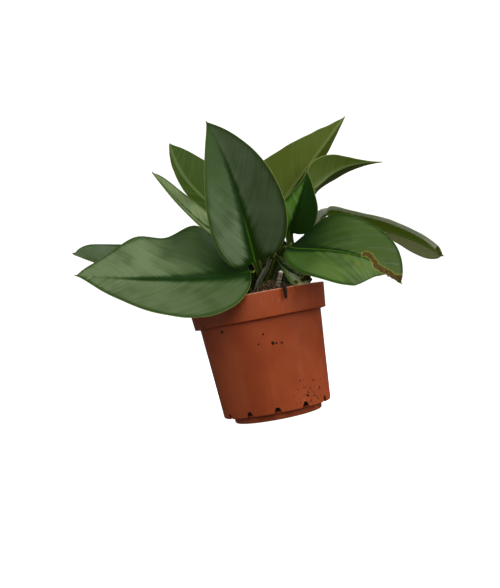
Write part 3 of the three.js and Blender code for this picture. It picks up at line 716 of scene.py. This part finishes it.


# A shade below 1 paints a half darker and one above 1 paints it lighter, and shadow paints the shadow of the
# leaves in front near the base: painted shade and painted light.
LEAF_FINISHES = {
    "silvery": leaf_finish("silvery leaf"),
    "upright": leaf_finish("upright leaf", "#778c68", base=(1.25, 0.95), tip=(0.1, 0.7),
                           shade=(1.0, 0.48), shadow=(0.1, 0.1), zone=8.0, line=0.3),
    "spread": leaf_finish("spread leaf", "#75895f", base=(0.5, 0.3), tip=(1.05, 1.25), shade=(0.9, 1.0),
                          shadow=(0.1, 0.34), zone=9.0),
    # The far leaf's silver is painted darker as a whole: painted shade.
    "far": leaf_finish("far leaf", "#66785b", zone=3.5),
    "side": leaf_finish("side leaf", "#7c8e5c", base=(1.2, 1.2), zone=3.5),
    "fresh": leaf_finish("fresh leaf", "#65843a", "#255400", "#0a2e00", "#506424", base=(0.0, 0.5),
                         tip=(1.7, 1.5), shade=(0.55, 0.85), shadow=(0.4, 0.08), line=0.7),
    # The inner leaf's dark green is partly the colour of a young leaf with little silver and partly painted
    # shade from the leaf in front.
    "inner": leaf_finish("inner leaf", "#4f7a28", "#0e3d00", "#0a2a00", "#3c4c1a", base=(1.4, 0.0),
                         tip=(1.2, 0.0), shade=(1.3, 0.55), zone=4.0, shine=0.05),
    "drooping": leaf_finish("drooping leaf", under="#485a04", painted_lit_underside="#e8e2cc", through=0.2, shine=0.2),
    # The small leaf's pale silver is its own colour painted brighter still, as painted light.
    "small": leaf_finish("small leaf", "#c6d0a2", "#5c7a3a", base=(0.8, 1.5), tip=(1.4, 1.6),
                         shade=(0.7, 1.3), zone=1.5),
    # Its underside's dark olive is partly its own colour and partly painted shade from the leaf in front.
    "from behind": leaf_finish("leaf seen from behind", under="#304a02"),
    "from below": leaf_finish("leaf seen from below", under="#505f12"),
    "right": leaf_finish("right leaf", under="#475a15"),
    # The back leaf's underside is painted near black: painted shade in the gap behind the stems.
    "shade_darkened": leaf_finish("hidden leaf", under="#0d1406", through=0.0),
}
KIND_OF_LEAF = {"leaf_front_upright": "upright", "leaf_front_left": "spread", "leaf_side_left": "side",
                "leaf_far_left": "far", "leaf_front_right": "fresh", "leaf_inner_right": "inner",
                "leaf_drooping_right": "drooping", "leaf_small_rim": "small",
                "leaf_upper_left": "from behind", "leaf_upper_right": "from below",
                "leaf_right_out": "right", "leaf_back": "shade_darkened"}
print("leaf finishes:", ", ".join(LEAF_FINISHES))

# %% Leaves
for number, (name, leaf) in enumerate(LEAVES.items()):
    rings, values = leaf_rings(leaf, 10 * number)
    points, faces = closed_rings(rings)
    ends = {key: np.concatenate([v.ravel(), [v[0].mean(), v[-1].mean()]]) for key, v in values.items()}
    finish = LEAF_FINISHES[KIND_OF_LEAF.get(name, "silvery")]
    piece = add_piece(f"{name}_fine", points, faces, finish, ends)
    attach(piece, "root")
    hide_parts(name)
print(len(LEAVES), "leaves, each of", len(faces), "faces")

# %% [markdown]
# ## Stems, sheath and roots
#
# Cuttings like these are short lengths of stem with a ring at each node and a bud at the top. Between
# the petioles stands a dry sheath, a thin dark strip with pale edges. A pale ringed stub of a root
# leans out of the soil, and a dark root hangs over the rim.

# %% Stems
STEM = dict(radius=4.4, ring=0.6, spacing=9, depth=12, bud=10, bud_taper=0.86, rough=0.14)
STEM_SIDES = 40


def stem_rings(stem, seed):
    """A round stem: a power of a cosine swells it at each node, and it narrows to a bud at the top."""
    height = np.linspace(SOIL_LEVEL - STEM["depth"], stem["top"], 90)
    axis = np.array([stem_point(stem, h) for h in height])
    node = np.cos(np.pi * (height - SOIL_LEVEL) / STEM["spacing"]) ** 24
    bud = smooth_step(height, stem["top"] - STEM["bud"], stem["top"])
    radius = (STEM["radius"] + STEM["ring"] * node) * (1 - STEM["bud_taper"] * bud)
    angle = 2 * np.pi * np.arange(STEM_SIDES) / STEM_SIDES
    uneven = STEM["rough"] * ripples(height[:, None] / 3, 2 * np.cos(angle)[None], seed)
    return tube(axis, radius[:, None] + uneven * (1 - bud[:, None]), STEM_SIDES)


def stem_finish():
    f = Finish("stem")
    grain = f.noise(f.place((1, 1, 0.3)), 1.4, 4.0)
    stops = [(0.3, "#2b3313"), (0.55, "#465121"), (0.8, "#6b7245")]
    colour = f.node("ShaderNodeValToRGB", {"stops": stops}, {0: grain})
    return f.surface(colour, 0.5, grain, 0.15, Specular_IOR_Level=0.35)


stem_material = stem_finish()
for number, (name, stem) in enumerate(STEMS.items()):
    points, faces = closed_rings(stem_rings(stem, 200 + number))
    piece = add_piece(f"{name}_fine", points, faces, stem_material)
    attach(piece, "root")
    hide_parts(name)
print(len(STEMS), "stems")

# %% Dry sheath
SHEATH = dict(rib=[[-1, -36, 100], [3, -38.5, 116], [13, -37.5, 122], [18, -34, 131.5]],
              face=[-0.5, -0.8, 0.3], wide=2.2, narrowest=0.4, fullest=0.3, tapered=0.4, fold=12,
              curl=0.35, rough=0.15, thickness=0.35)


def sheath_rings():
    """A narrow folded strip with a lengthwise crease and curled edges, and each point's nearness to them."""
    t = np.linspace(*BLADE_SPAN, 70)
    axis = bezier(SHEATH["rib"], t)
    along = unit(np.gradient(axis, axis=0))
    face = unit(np.array(SHEATH["face"]))
    up = unit(face - (along @ face)[:, None] * along)
    across = np.cross(along, up)
    s = np.linspace(-1, 1, 15)
    half = SHEATH["wide"] * fullness(t, SHEATH["fullest"], SHEATH["tapered"])
    half = np.hypot(half, SHEATH["narrowest"]) * (1 + SHEATH["rough"] * ripples(t * 30, 0, 301))
    lift = half[:, None] * (np.tan(np.radians(SHEATH["fold"])) * np.abs(s) + SHEATH["curl"] * s**4)
    middle = axis[:, None] + across[:, None] * (s * half[:, None])[..., None]
    middle = middle + up[:, None] * lift[..., None]
    body = SHEATH["thickness"] * np.sqrt(1 - 0.96 * s**2)
    top = middle + up[:, None] * body[None, :, None]
    under = middle - up[:, None] * body[None, :, None]
    edges = np.tile(np.abs(s), (len(t), 1))
    return np.concatenate([top, under[:, ::-1]], 1), np.concatenate([edges, edges[:, ::-1]], 1)


def sheath_finish():
    f = Finish("dry sheath")
    fibre = f.noise(f.place((1, 1, 0.15)), 0.5, 3.0)
    colour = f.mix(fibre, "#1d1e14", "#4b4c37")
    colour = f.mix(f.step(f.value("edge"), 0.7, 1.0) * 0.8, colour, "#8a8d74")
    return f.surface(colour, 0.6, fibre, 0.15)


rings, edge = sheath_rings()
points, faces = closed_rings(rings)
piece = add_piece("dry_sheath_fine", points, faces, sheath_finish(), {"edge": np.append(edge, [0, 0])})
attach(piece, "root")
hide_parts("dry_sheath")
print("sheath of", len(faces), "faces")

# %% Roots
ROOT_STUB = dict(foot=[16.5, -42, 102], top=[24.2, -42, 120.2], radius=2.2, taper=0.28, rings=7, ring=0.4,
                 groove=0.3, cap=0.06)
HANGING_ROOT = dict(path=[[23.5, -44.1, 101], [23.8, -49.8, 107], [23.8, -54.8, 108.4],
                          [23.9, -57.2, 105.2], [23.3, -56.5, 96.8]], radius=1.5)
STUB_SIDES = 36
ROOT_SIDES = 20


def stub_rings():
    """A rough tapering stub with raised rings: its radius is a straight taper plus a sharpened sine."""
    t = np.linspace(0, 1, 110)
    axis = np.array(ROOT_STUB["foot"]) + t[:, None] * (np.array(ROOT_STUB["top"]) - ROOT_STUB["foot"])
    ring = np.abs(np.sin(np.pi * ROOT_STUB["rings"] * t)) ** 0.6
    cap = np.sqrt(np.clip((1 - t) / ROOT_STUB["cap"], 0, 1))
    radius = ROOT_STUB["radius"] * (1 - ROOT_STUB["taper"] * t) - ROOT_STUB["groove"]
    radius = (radius + (ROOT_STUB["ring"] + ROOT_STUB["groove"]) * ring) * (0.25 + 0.75 * cap)
    angle = 2 * np.pi * np.arange(STUB_SIDES) / STUB_SIDES
    rough = 0.12 * ripples(t[:, None] * 40, 4 * np.cos(angle)[None], 401)
    rough = rough + 0.08 * ripples(t[:, None] * 90, angle[None] * 5, 402)
    values = np.repeat(t[:, None], STUB_SIDES, 1)
    return tube(axis, radius[:, None] + rough, STUB_SIDES), values


def hanging_root_rings():
    """A knotty root along a smooth curve that tapers to its end."""
    path = spline(HANGING_ROOT["path"], 90)
    t = np.linspace(0, 1, 90)
    knots = 1 + 0.14 * np.sin(9 * t + 1) - 0.35 * t**6
    angle = 2 * np.pi * np.arange(ROOT_SIDES) / ROOT_SIDES
    rough = 0.14 * ripples(t[:, None] * 30, 3 * np.cos(angle)[None], 403)
    end = np.sqrt(np.clip((1 - t) / 0.03, 0, 1))
    radius = HANGING_ROOT["radius"] * knots * (0.3 + 0.7 * end)
    return tube(path, radius[:, None] + rough, ROOT_SIDES)


def root_finish(name, dark, pale, tip=None):
    f = Finish(name)
    grain = f.noise(f.place(), 0.8, 4.0)
    colour = f.mix(f.step(grain, 0.35, 0.7), dark, pale)
    if tip:
        colour = f.mix(f.step(f.value("upward"), 0.82, 0.95), colour, tip)
    return f.surface(colour, 0.85, grain, 0.3, Specular_IOR_Level=0.3)


rings, upward_share = stub_rings()
points, faces = closed_rings(rings)
pale_root = root_finish("pale root", "#4d4233", "#a3967c", "#d8d2c0")
stub = add_piece("root_stub_fine", points, faces, pale_root, {"upward": np.append(upward_share, [0, 1])})
points, faces = closed_rings(hanging_root_rings())
dangling = add_piece("hanging_root_fine", points, faces, root_finish("dark root", "#1c120b", "#3d2a1b"))
for piece, node, slot in ((stub, "root_stub", "root"), (dangling, "hanging_root", "dark_root")):
    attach(piece, "root")
    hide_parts(node)
print("two roots")

# %% [markdown]
# ## Soil
#
# The soil is dark peat with bark crumbs and pale fibres, heaped towards the front where the plant was
# set in. Its surface is the same formula as the solid's, with finer lumps, and crumbs and fibres lie
# half sunk in it.

# %% Soil
POT = dict(height=106, foot_radius=38, foot_height=6, bottom_radius=46.7, shoulder_radius=53,
           band_bottom=85, band_radius=57.5, rim_radius=60, wall=1.4)
SOIL = dict(edge_radius=56.8, edge_level=99, clear=0.55)
HEAPS = [(16, -38, 10, 8.5), (3, -42, 4, 8), (31, -44, 5, 4.5), (-20, 14, 5, 18), (40, 12, 3, 12)]


def soil_level(x, y):
    """Height of the soil: level in the middle, lower at the wall, plus a bell curve for each heap."""
    r = np.hypot(x, y) / SOIL["edge_radius"]
    z = SOIL_LEVEL + (SOIL["edge_level"] - SOIL_LEVEL) * r**6
    for heap_x, heap_y, height, width in HEAPS:
        z = z + height * np.exp(-((x - heap_x) ** 2 + (y - heap_y) ** 2) / (2 * width**2)) * (1 - r**8)
    return z + 0.5 * np.sin(0.9 * x + 0.5) * np.sin(0.8 * y) * (1 - r**4)


def soil_rings():
    """Rings from the bottom's middle out, up the side and in again over the surface, which is lumpy."""
    angle = 2 * np.pi * np.arange(300) / 300
    radius = np.linspace(SOIL["edge_radius"], 0.4, 90)[:, None]
    x, y = radius * np.cos(angle), radius * np.sin(angle)
    lumps = 0.7 * ripples(x / 1.6, y / 1.6, 501, waves=9) + 0.45 * ripples(x / 0.7, y / 0.7, 502, waves=9)
    surface = np.stack([x, y, soil_level(x, y) + lumps], -1)
    inset = POT["wall"] + SOIL["clear"]
    foot = POT["foot_height"] + inset
    shelf = POT["band_bottom"] + inset + 1.2
    side = [(0.4, inset), (POT["foot_radius"] - inset - 1, inset), (POT["foot_radius"] - inset, foot),
            (POT["bottom_radius"] - inset - 1, foot), (POT["bottom_radius"] - inset + 0.3, foot + 2.5),
            (POT["shoulder_radius"] - inset, POT["band_bottom"] - 1),
            (POT["shoulder_radius"] - inset, shelf), (POT["band_radius"] - inset, shelf)]
    low = np.array([np.stack([r * np.cos(angle), r * np.sin(angle), z + 0 * angle], -1) for r, z in side])
    return np.concatenate([low, surface])


def soil_finish():
    f = Finish("potting soil")
    grain = f.noise(f.place(), 1.6, 6.0, 0.7)
    stops = [(0.3, "#140d09"), (0.5, "#342519"), (0.64, "#5a4330"), (0.78, "#84694c")]
    colour = f.node("ShaderNodeValToRGB", {"stops": stops}, {0: grain})
    return f.surface(colour, 0.95, grain, 0.8, Specular_IOR_Level=0.2)


points, faces = closed_rings(soil_rings())
soil_material = soil_finish()
soil = add_piece("soil_surface", points, faces, soil_material)
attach(soil, "root")
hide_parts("soil")
print("soil of", len(faces), "faces")

# %% Crumbs
def crumb_form():
    """Points and triangles of an octahedron whose faces are each split in four, pushed out to a ball."""
    corners = np.array([[1, 0, 0], [-1, 0, 0], [0, 1, 0], [0, -1, 0], [0, 0, 1], [0, 0, -1]], float)
    eighths = [(x, y, z) for x in (0, 1) for y in (2, 3) for z in (4, 5)]
    faces = [(x, y, z) if (x + y + z) % 2 == 0 else (y, x, z) for x, y, z in eighths]
    points = list(corners)
    split = []
    middles = {}
    for a, b, c in faces:
        mids = []
        for p, q in ((a, b), (b, c), (c, a)):
            key = (min(p, q), max(p, q))
            if key not in middles:
                middles[key] = len(points)
                points.append(corners[p] + corners[q])
            mids.append(middles[key])
        split += [(a, mids[0], mids[2]), (b, mids[1], mids[0]), (c, mids[2], mids[1]), tuple(mids)]
    points = unit(np.array(points))
    split = np.array(split)
    first, second, third = points[split].transpose(1, 0, 2)
    normal = np.cross(second - first, third - first)
    inward = (normal * points[split].mean(1)).sum(-1) < 0
    split[inward] = split[inward][:, ::-1]
    return points, split


def random_turns(draw, count):
    """Rotation matrices from seeded axes and angles, by Rodrigues' formula."""
    axis = unit(draw.normal(size=(count, 3)))
    angle = draw.uniform(0, 2 * np.pi, count)[:, None, None]
    x, y, z = axis.T
    zero = np.zeros(count)
    skew = np.stack([zero, -z, y, z, zero, -x, -y, x, zero], -1).reshape(count, 3, 3)
    return np.eye(3) + np.sin(angle) * skew + (1 - np.cos(angle)) * (skew @ skew)


CRUMBS = 1500
HEAPED_CRUMBS = 500
CRUMB_REACH = 55
draw = np.random.default_rng(7)
form, form_faces = crumb_form()
place_angle = draw.uniform(0, 2 * np.pi, CRUMBS)
place_radius = (CRUMB_REACH - 0.5) * np.sqrt(draw.uniform(0, 1, CRUMBS))
heap_x, heap_y = draw.normal(16, 11, CRUMBS), draw.normal(-42, 6, CRUMBS)
heaped = np.arange(CRUMBS) < HEAPED_CRUMBS
crumb_x = np.where(heaped, heap_x, place_radius * np.cos(place_angle))
crumb_y = np.where(heaped, heap_y, place_radius * np.sin(place_angle))
inside = np.minimum(1, CRUMB_REACH / np.maximum(np.hypot(crumb_x, crumb_y), 1))
crumb_x, crumb_y = crumb_x * inside, crumb_y * inside
size = np.exp(draw.normal(-0.25, 0.45, CRUMBS)).clip(0.3, 2.4)
stretch = draw.uniform(0.5, 1.3, (CRUMBS, 1, 3))
dents = 1 + draw.normal(0, 0.14, (CRUMBS, len(form), 1))
crumbs = (form[None] * stretch * dents * size[:, None, None]) @ random_turns(draw, CRUMBS)
crumbs = crumbs + np.stack([crumb_x, crumb_y, soil_level(crumb_x, crumb_y) + 0.3], -1)[:, None]
crumb_faces = form_faces[None] + (np.arange(CRUMBS) * len(form))[:, None, None]
faces = crumb_faces.reshape(-1, 3).tolist()
piece = add_piece("soil_crumbs", crumbs.reshape(-1, 3), faces, soil_material)
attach(piece, "root")
print(CRUMBS, "crumbs")

# %% Fibres
FIBRES = 260
HEAPED_FIBRES = 150
FIBRE_STEPS = 9
FIBRE_SIDES = 5
FIBRE_REACH = 55.5


def fibre_rings(draw):
    """Thin bent threads that lie on the soil: each starts at a seeded place and turns as it goes."""
    heaped = np.arange(FIBRES) < HEAPED_FIBRES
    start_x = np.where(heaped, draw.normal(14, 12, FIBRES), draw.uniform(-45, 45, FIBRES))
    start_y = np.where(heaped, draw.normal(-45, 5, FIBRES), draw.uniform(-45, 45, FIBRES))
    inside = np.minimum(1, (FIBRE_REACH - 2.5) / np.maximum(np.hypot(start_x, start_y), 1))
    heading = draw.uniform(0, 2 * np.pi, (FIBRES, 1))
    heading = heading + np.cumsum(draw.normal(0, 0.35, (FIBRES, FIBRE_STEPS)), 1)
    stride = draw.uniform(0.5, 1.6, (FIBRES, 1))
    x = (start_x * inside)[:, None] + np.cumsum(stride * np.cos(heading), 1)
    y = (start_y * inside)[:, None] + np.cumsum(stride * np.sin(heading), 1)
    pull = np.minimum(1, FIBRE_REACH / np.maximum(np.hypot(x, y), 1))
    x, y = x * pull, y * pull
    arch = draw.uniform(0, 2.2, (FIBRES, 1)) * np.sin(np.linspace(0, np.pi, FIBRE_STEPS))
    z = soil_level(x, y) + 0.7 + arch
    width = draw.uniform(0.13, 0.3, FIBRES)
    taper = np.sin(np.linspace(0.25, np.pi - 0.25, FIBRE_STEPS)) ** 0.5
    paths = np.stack([x, y, z], -1)
    return [tube(path, (w * taper)[:, None], FIBRE_SIDES) for path, w in zip(paths, width)]


def fibre_finish():
    f = Finish("peat fibre")
    tone = f.noise(f.place(), 4.0, 2.0)
    colour = f.mix(f.step(tone, 0.35, 0.65), "#3b2a1b", "#8a7352")
    return f.surface(colour, 0.9, Specular_IOR_Level=0.2)


fibre_points, fibre_faces = [], []
for rings in fibre_rings(np.random.default_rng(8)):
    points, faces = closed_rings(rings)
    first = len(fibre_points) * len(points)
    fibre_points.append(points)
    fibre_faces += [[first + v for v in face] for face in faces]
piece = add_piece("peat_fibres", np.concatenate(fibre_points), fibre_faces, fibre_finish())
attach(piece, "root")
print(FIBRES, "fibres")

# %% [markdown]
# ## The pot
#
# A nursery pot is blown or moulded from thin polypropylene. It has a plain tapered body, a wider band
# at the rim, and slots at the bottom corner. Its outline turns about the axis, so it is one profile of
# radius and height, with the corners rounded by short arcs. The slots are cut with wedges.

# %% Pot
SLOTS = dict(count=12, width=9, point=3, bottom=4, top=11, inner=42, outer=50)
POT_SIDES = 180


def rounded(corners, steps=5):
    """A profile from corners (radius, height, rounding): each corner becomes a short quadratic curve."""
    points = []
    for k, (r, z, bend) in enumerate(corners):
        here = np.array([r, z], float)
        if bend == 0 or k in (0, len(corners) - 1):
            points.append(here)
            continue
        before, after = np.array(corners[k - 1][:2], float), np.array(corners[k + 1][:2], float)
        start = here + unit(before - here) * min(bend, np.linalg.norm(before - here) / 2)
        end = here + unit(after - here) * min(bend, np.linalg.norm(after - here) / 2)
        u = np.linspace(0, 1, steps)[:, None]
        points += list((1 - u) ** 2 * start + 2 * u * (1 - u) * here + u**2 * end)
    return np.array(points)


def pot_profile():
    """The wall's outline from the middle of the underside, up the outside and down the inside."""
    p = POT
    wall = p["wall"]
    inside_floor = p["foot_height"] + wall
    return rounded([
        (0.3, 0, 0), (p["foot_radius"], 0, 1.6), (p["foot_radius"] + 0.2, p["foot_height"], 0.3),
        (p["bottom_radius"], p["foot_height"], 1.4), (p["shoulder_radius"], p["band_bottom"] - 0.9, 0.5),
        (p["band_radius"], p["band_bottom"] - 0.4, 0.7), (p["rim_radius"] - 0.1, p["height"], 1.0),
        (p["rim_radius"] - wall - 0.1, p["height"], 0.6),
        (p["band_radius"] - wall, p["band_bottom"] + wall, 0.8),
        (p["shoulder_radius"] - wall, p["band_bottom"] + wall - 0.6, 0.8),
        (p["bottom_radius"] - wall, inside_floor, 1.4), (p["foot_radius"] - wall, inside_floor, 0.3),
        (p["foot_radius"] - wall - 0.3, wall, 0.8), (0.3, wall, 0)])


def slot_cutter():
    """Wedges round the bottom corner, each wide below and pointed above, as one mesh."""
    s = SLOTS
    outline = [(-s["width"] / 2, s["bottom"]), (s["width"] / 2, s["bottom"]), (s["point"] / 2, s["top"]),
               (-s["point"] / 2, s["top"])]
    points, faces = [], []
    for k in range(s["count"]):
        angle = 2 * np.pi * k / s["count"]
        out, side = np.array([-np.sin(angle), np.cos(angle)]), np.array([np.cos(angle), np.sin(angle)])
        first = len(points)
        for depth in (s["inner"], s["outer"]):
            points += [(*(out * depth + side * x), z) for x, z in outline]
        a, b = [first + i for i in range(4)], [first + 4 + i for i in range(4)]
        faces += [a, b[::-1]] + [[a[i], b[i], b[(i + 1) % 4], a[(i + 1) % 4]] for i in range(4)]
    return add_piece("slot_cutter", points, faces, pot_material)


def pot_finish():
    """Terracotta-coloured plastic: faint streaks, a paler top edge of the rim, dust near the foot, a fine
    grain.
    """
    f = Finish("nursery pot")
    height = f.node("ShaderNodeSeparateXYZ", {}, {0: f.place()}, output="Z")
    cloudy = f.noise(f.place(), 22, 3.0)
    streak = f.noise(f.place((1, 1, 0.08)), 1.5, 4.0)
    grain = f.noise(f.place(), 0.35, 2.0)
    colour = f.mix(f.step(cloudy, 0.3, 0.7), "#b04c22", "#bb562a")
    colour = f.mix(f.step(streak, 0.56, 0.72) * f.step(height, 84, 90) * 0.3, colour, "#cf8560")
    colour = f.mix(f.step(height + streak * 1.6, 105.6, 106.6) * 0.6, colour, "#dca682")
    dust = f.step(f.noise(f.place(), 2.4, 4.0), 0.63, 0.72) * f.step(height, 26, 6)
    colour = f.mix(dust * 0.6, colour, "#4e2b1b")
    gloss = 0.42 + cloudy * 0.1 + f.step(streak, 0.55, 0.8) * 0.12
    return f.surface(colour, gloss, grain + streak * 0.4, 0.03, Specular_IOR_Level=0.4)


pot_material = pot_finish()
profile = pot_profile()
turn = 2 * np.pi * np.arange(POT_SIDES) / POT_SIDES
circle = np.stack([np.cos(turn), np.sin(turn), 0 * turn], -1)
rings = circle[None] * profile[:, 0, None, None] + np.array([0, 0, 1]) * profile[:, 1, None, None]
points, faces = closed_rings(rings)
pot = add_piece("nursery_pot", points, faces, pot_material)
cutter = slot_cutter()
cut = pot.modifiers.new("slots", "BOOLEAN")
cut.object = cutter
cut.operation = "DIFFERENCE"
cut.solver = "EXACT"
pot.data = bpy.data.meshes.new_from_object(pot.evaluated_get(bpy.context.evaluated_depsgraph_get()))
pot.modifiers.clear()
bpy.data.objects.remove(cutter)
pot.data.set_sharp_from_angle(angle=np.radians(35))
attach(pot, "root")
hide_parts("pot")
print("pot of", len(pot.data.polygons), "faces")

# %% [markdown]
# ## Specks
#
# Bits of soil stick to the pot: ten larger ones, most of them just below the band, and a dusting of
# small ones low on the right. They are the crumbs' form again, pressed on the wall. The table gives
# each larger one's angle, height and size.

# %% Specks
SPECKS = [(-129, 79.9, 1.0), (-90, 72, 1.2), (-96, 64.8, 1.0), (-83, 63.5, 1.6), (-80, 63, 0.9),
          (-75, 62.4, 1.2), (-145, 86.3, 0.9), (-47, 26.8, 0.9), (-38, 19.5, 1.0), (-56, 15.7, 0.9)]
SPECK_RADIUS = 1.2
SMALL_SPECKS = 70
PRESSED_FLAT = 0.35
draw = np.random.default_rng(9)
large_angle, large_height, large_size = np.array(SPECKS).T
speck_angle = np.radians(np.concatenate([large_angle, draw.normal(-48, 12, SMALL_SPECKS)]))
speck_height = np.concatenate([large_height, 9 + np.abs(draw.normal(0, 9, SMALL_SPECKS))])
speck_size = np.concatenate([SPECK_RADIUS * large_size, draw.uniform(0.25, 0.65, SMALL_SPECKS)])
taper = (POT["shoulder_radius"] - POT["bottom_radius"]) / (POT["band_bottom"] - POT["foot_height"])
wall_radius = POT["bottom_radius"] + taper * (speck_height - POT["foot_height"])
wall_radius = np.where(speck_height > POT["band_bottom"], POT["band_radius"], wall_radius)
outward = np.stack([np.cos(speck_angle), np.sin(speck_angle), 0 * speck_angle], -1)
sideways = np.stack([-np.sin(speck_angle), np.cos(speck_angle), 0 * speck_angle], -1)
count = len(speck_angle)
shape = form[None] * (1 + draw.normal(0, 0.22, (count, len(form), 1)))
shape = shape * draw.uniform(0.6, 1.2, (count, 1, 3)) * speck_size[:, None, None]
specks = (outward * wall_radius[:, None] + [0, 0, 1] * speck_height[:, None])[:, None]
specks = specks + PRESSED_FLAT * shape[..., :1] * outward[:, None] + shape[..., 1:2] * sideways[:, None]
specks = specks + shape[..., 2:] * np.array([0, 0, 1])
speck_faces = form_faces[None] + (np.arange(count) * len(form))[:, None, None]
faces = speck_faces.reshape(-1, 3).tolist()
piece = add_piece("soil_specks", specks.reshape(-1, 3), faces, soil_material)
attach(piece, "root")
print(count, "specks")

# %% [markdown]
# ## Floor and light
#
# The photograph was cut out on white, so the stage is a white round floor that curves up to a wall with
# no edge. It glows a little, so that it stays pale however weak the lamps are, and it neither lights
# the plant nor mirrors in it.
#
# The light in the photograph comes from the right in front. The key lamp is high on that side, and a
# lower one under it reaches below the leaves. A soft one in front fills the shadows. One at the side, a
# little behind the plant, gives the leaves' right edges their shine, and weak ones at the left, at the
# back and above keep those sides readable. Very little light comes from all round, so that the gaps
# between the leaves stay dark.

# %% Stage and lights
def studio_bowl():
    """A round floor whose edge turns up on a quarter circle into a wall, as rings round the middle."""
    floor, bend, tall, around = 2600, 900, 3600, 96
    turn_up = np.linspace(0, np.pi / 2, 16)
    r = np.concatenate([[0.5, 500, 1500], floor + bend * np.sin(turn_up), [floor + bend]])
    z = np.concatenate([[0, 0, 0], bend - bend * np.cos(turn_up), [tall]])
    angle = 2 * np.pi * np.arange(around) / around
    rings = np.stack([r[:, None] * np.cos(angle), r[:, None] * np.sin(angle), z[:, None] + 0 * angle], -1)
    glow = dict(Emission_Color=paint("#ffffff"), Emission_Strength=1.0)
    paper = Finish("studio").surface(paint("#e8e8e8"), 0.9, Specular_IOR_Level=0.1, **glow)
    return add_piece("studio", rings.reshape(-1, 3), ring_faces(len(r), around).tolist(), paper)


LAMP_DISTANCE = 1.9
PLANT_MIDDLE = Vector((0, 0, 0.12))
LAMPS = {
    "key": (62, 42, 1.0, 15, (1.0, 0.98, 0.94)),
    "low": (62, 10, 1.0, 9, (1.0, 0.98, 0.95)),
    "front": (-4, 24, 1.2, 13, (0.99, 0.99, 1.0)),
    "edge": (112, 32, 0.8, 11, (1.0, 0.99, 0.97)),
    "left": (-75, 5, 1.0, 2.5, (1.0, 1.0, 1.0)),
    "back": (195, 38, 1.2, 7, (1.0, 1.0, 1.0)),
    "top": (0, 88, 1.2, 3, (1.0, 1.0, 1.0)),
}
WORLD_LIGHT = 0.07


def soft_light(name, side, height, size, power, colour):
    """A square lamp that shines on the plant from side degrees to the right and height degrees up.

    Its size is in metres and its power in watts."""
    lamp = bpy.data.lights.new(name, "AREA")
    lamp.size = size
    lamp.energy = power
    lamp.color = colour
    light = bpy.data.objects.new(name, lamp)
    bpy.context.collection.objects.link(light)
    across, up = np.radians([side, height])
    arm = Vector((np.sin(across) * np.cos(up), -np.cos(across) * np.cos(up), np.sin(up)))
    light.location = PLANT_MIDDLE + LAMP_DISTANCE * arm
    light.rotation_euler = arm.to_track_quat("Z", "Y").to_euler()
    light.visible_camera = False


studio = studio_bowl()
studio.visible_diffuse = False
studio.visible_glossy = False
studio.visible_transmission = False
for name, settings in LAMPS.items():
    soft_light(name, *settings)
world = bpy.data.worlds.new("studio")
world.use_nodes = True
background = world.node_tree.nodes["Background"].inputs
background["Color"].default_value = (1.0, 1.0, 1.0, 1)
background["Strength"].default_value = WORLD_LIGHT
scene = bpy.context.scene
scene.world = world
scene.view_settings.view_transform = "Standard"
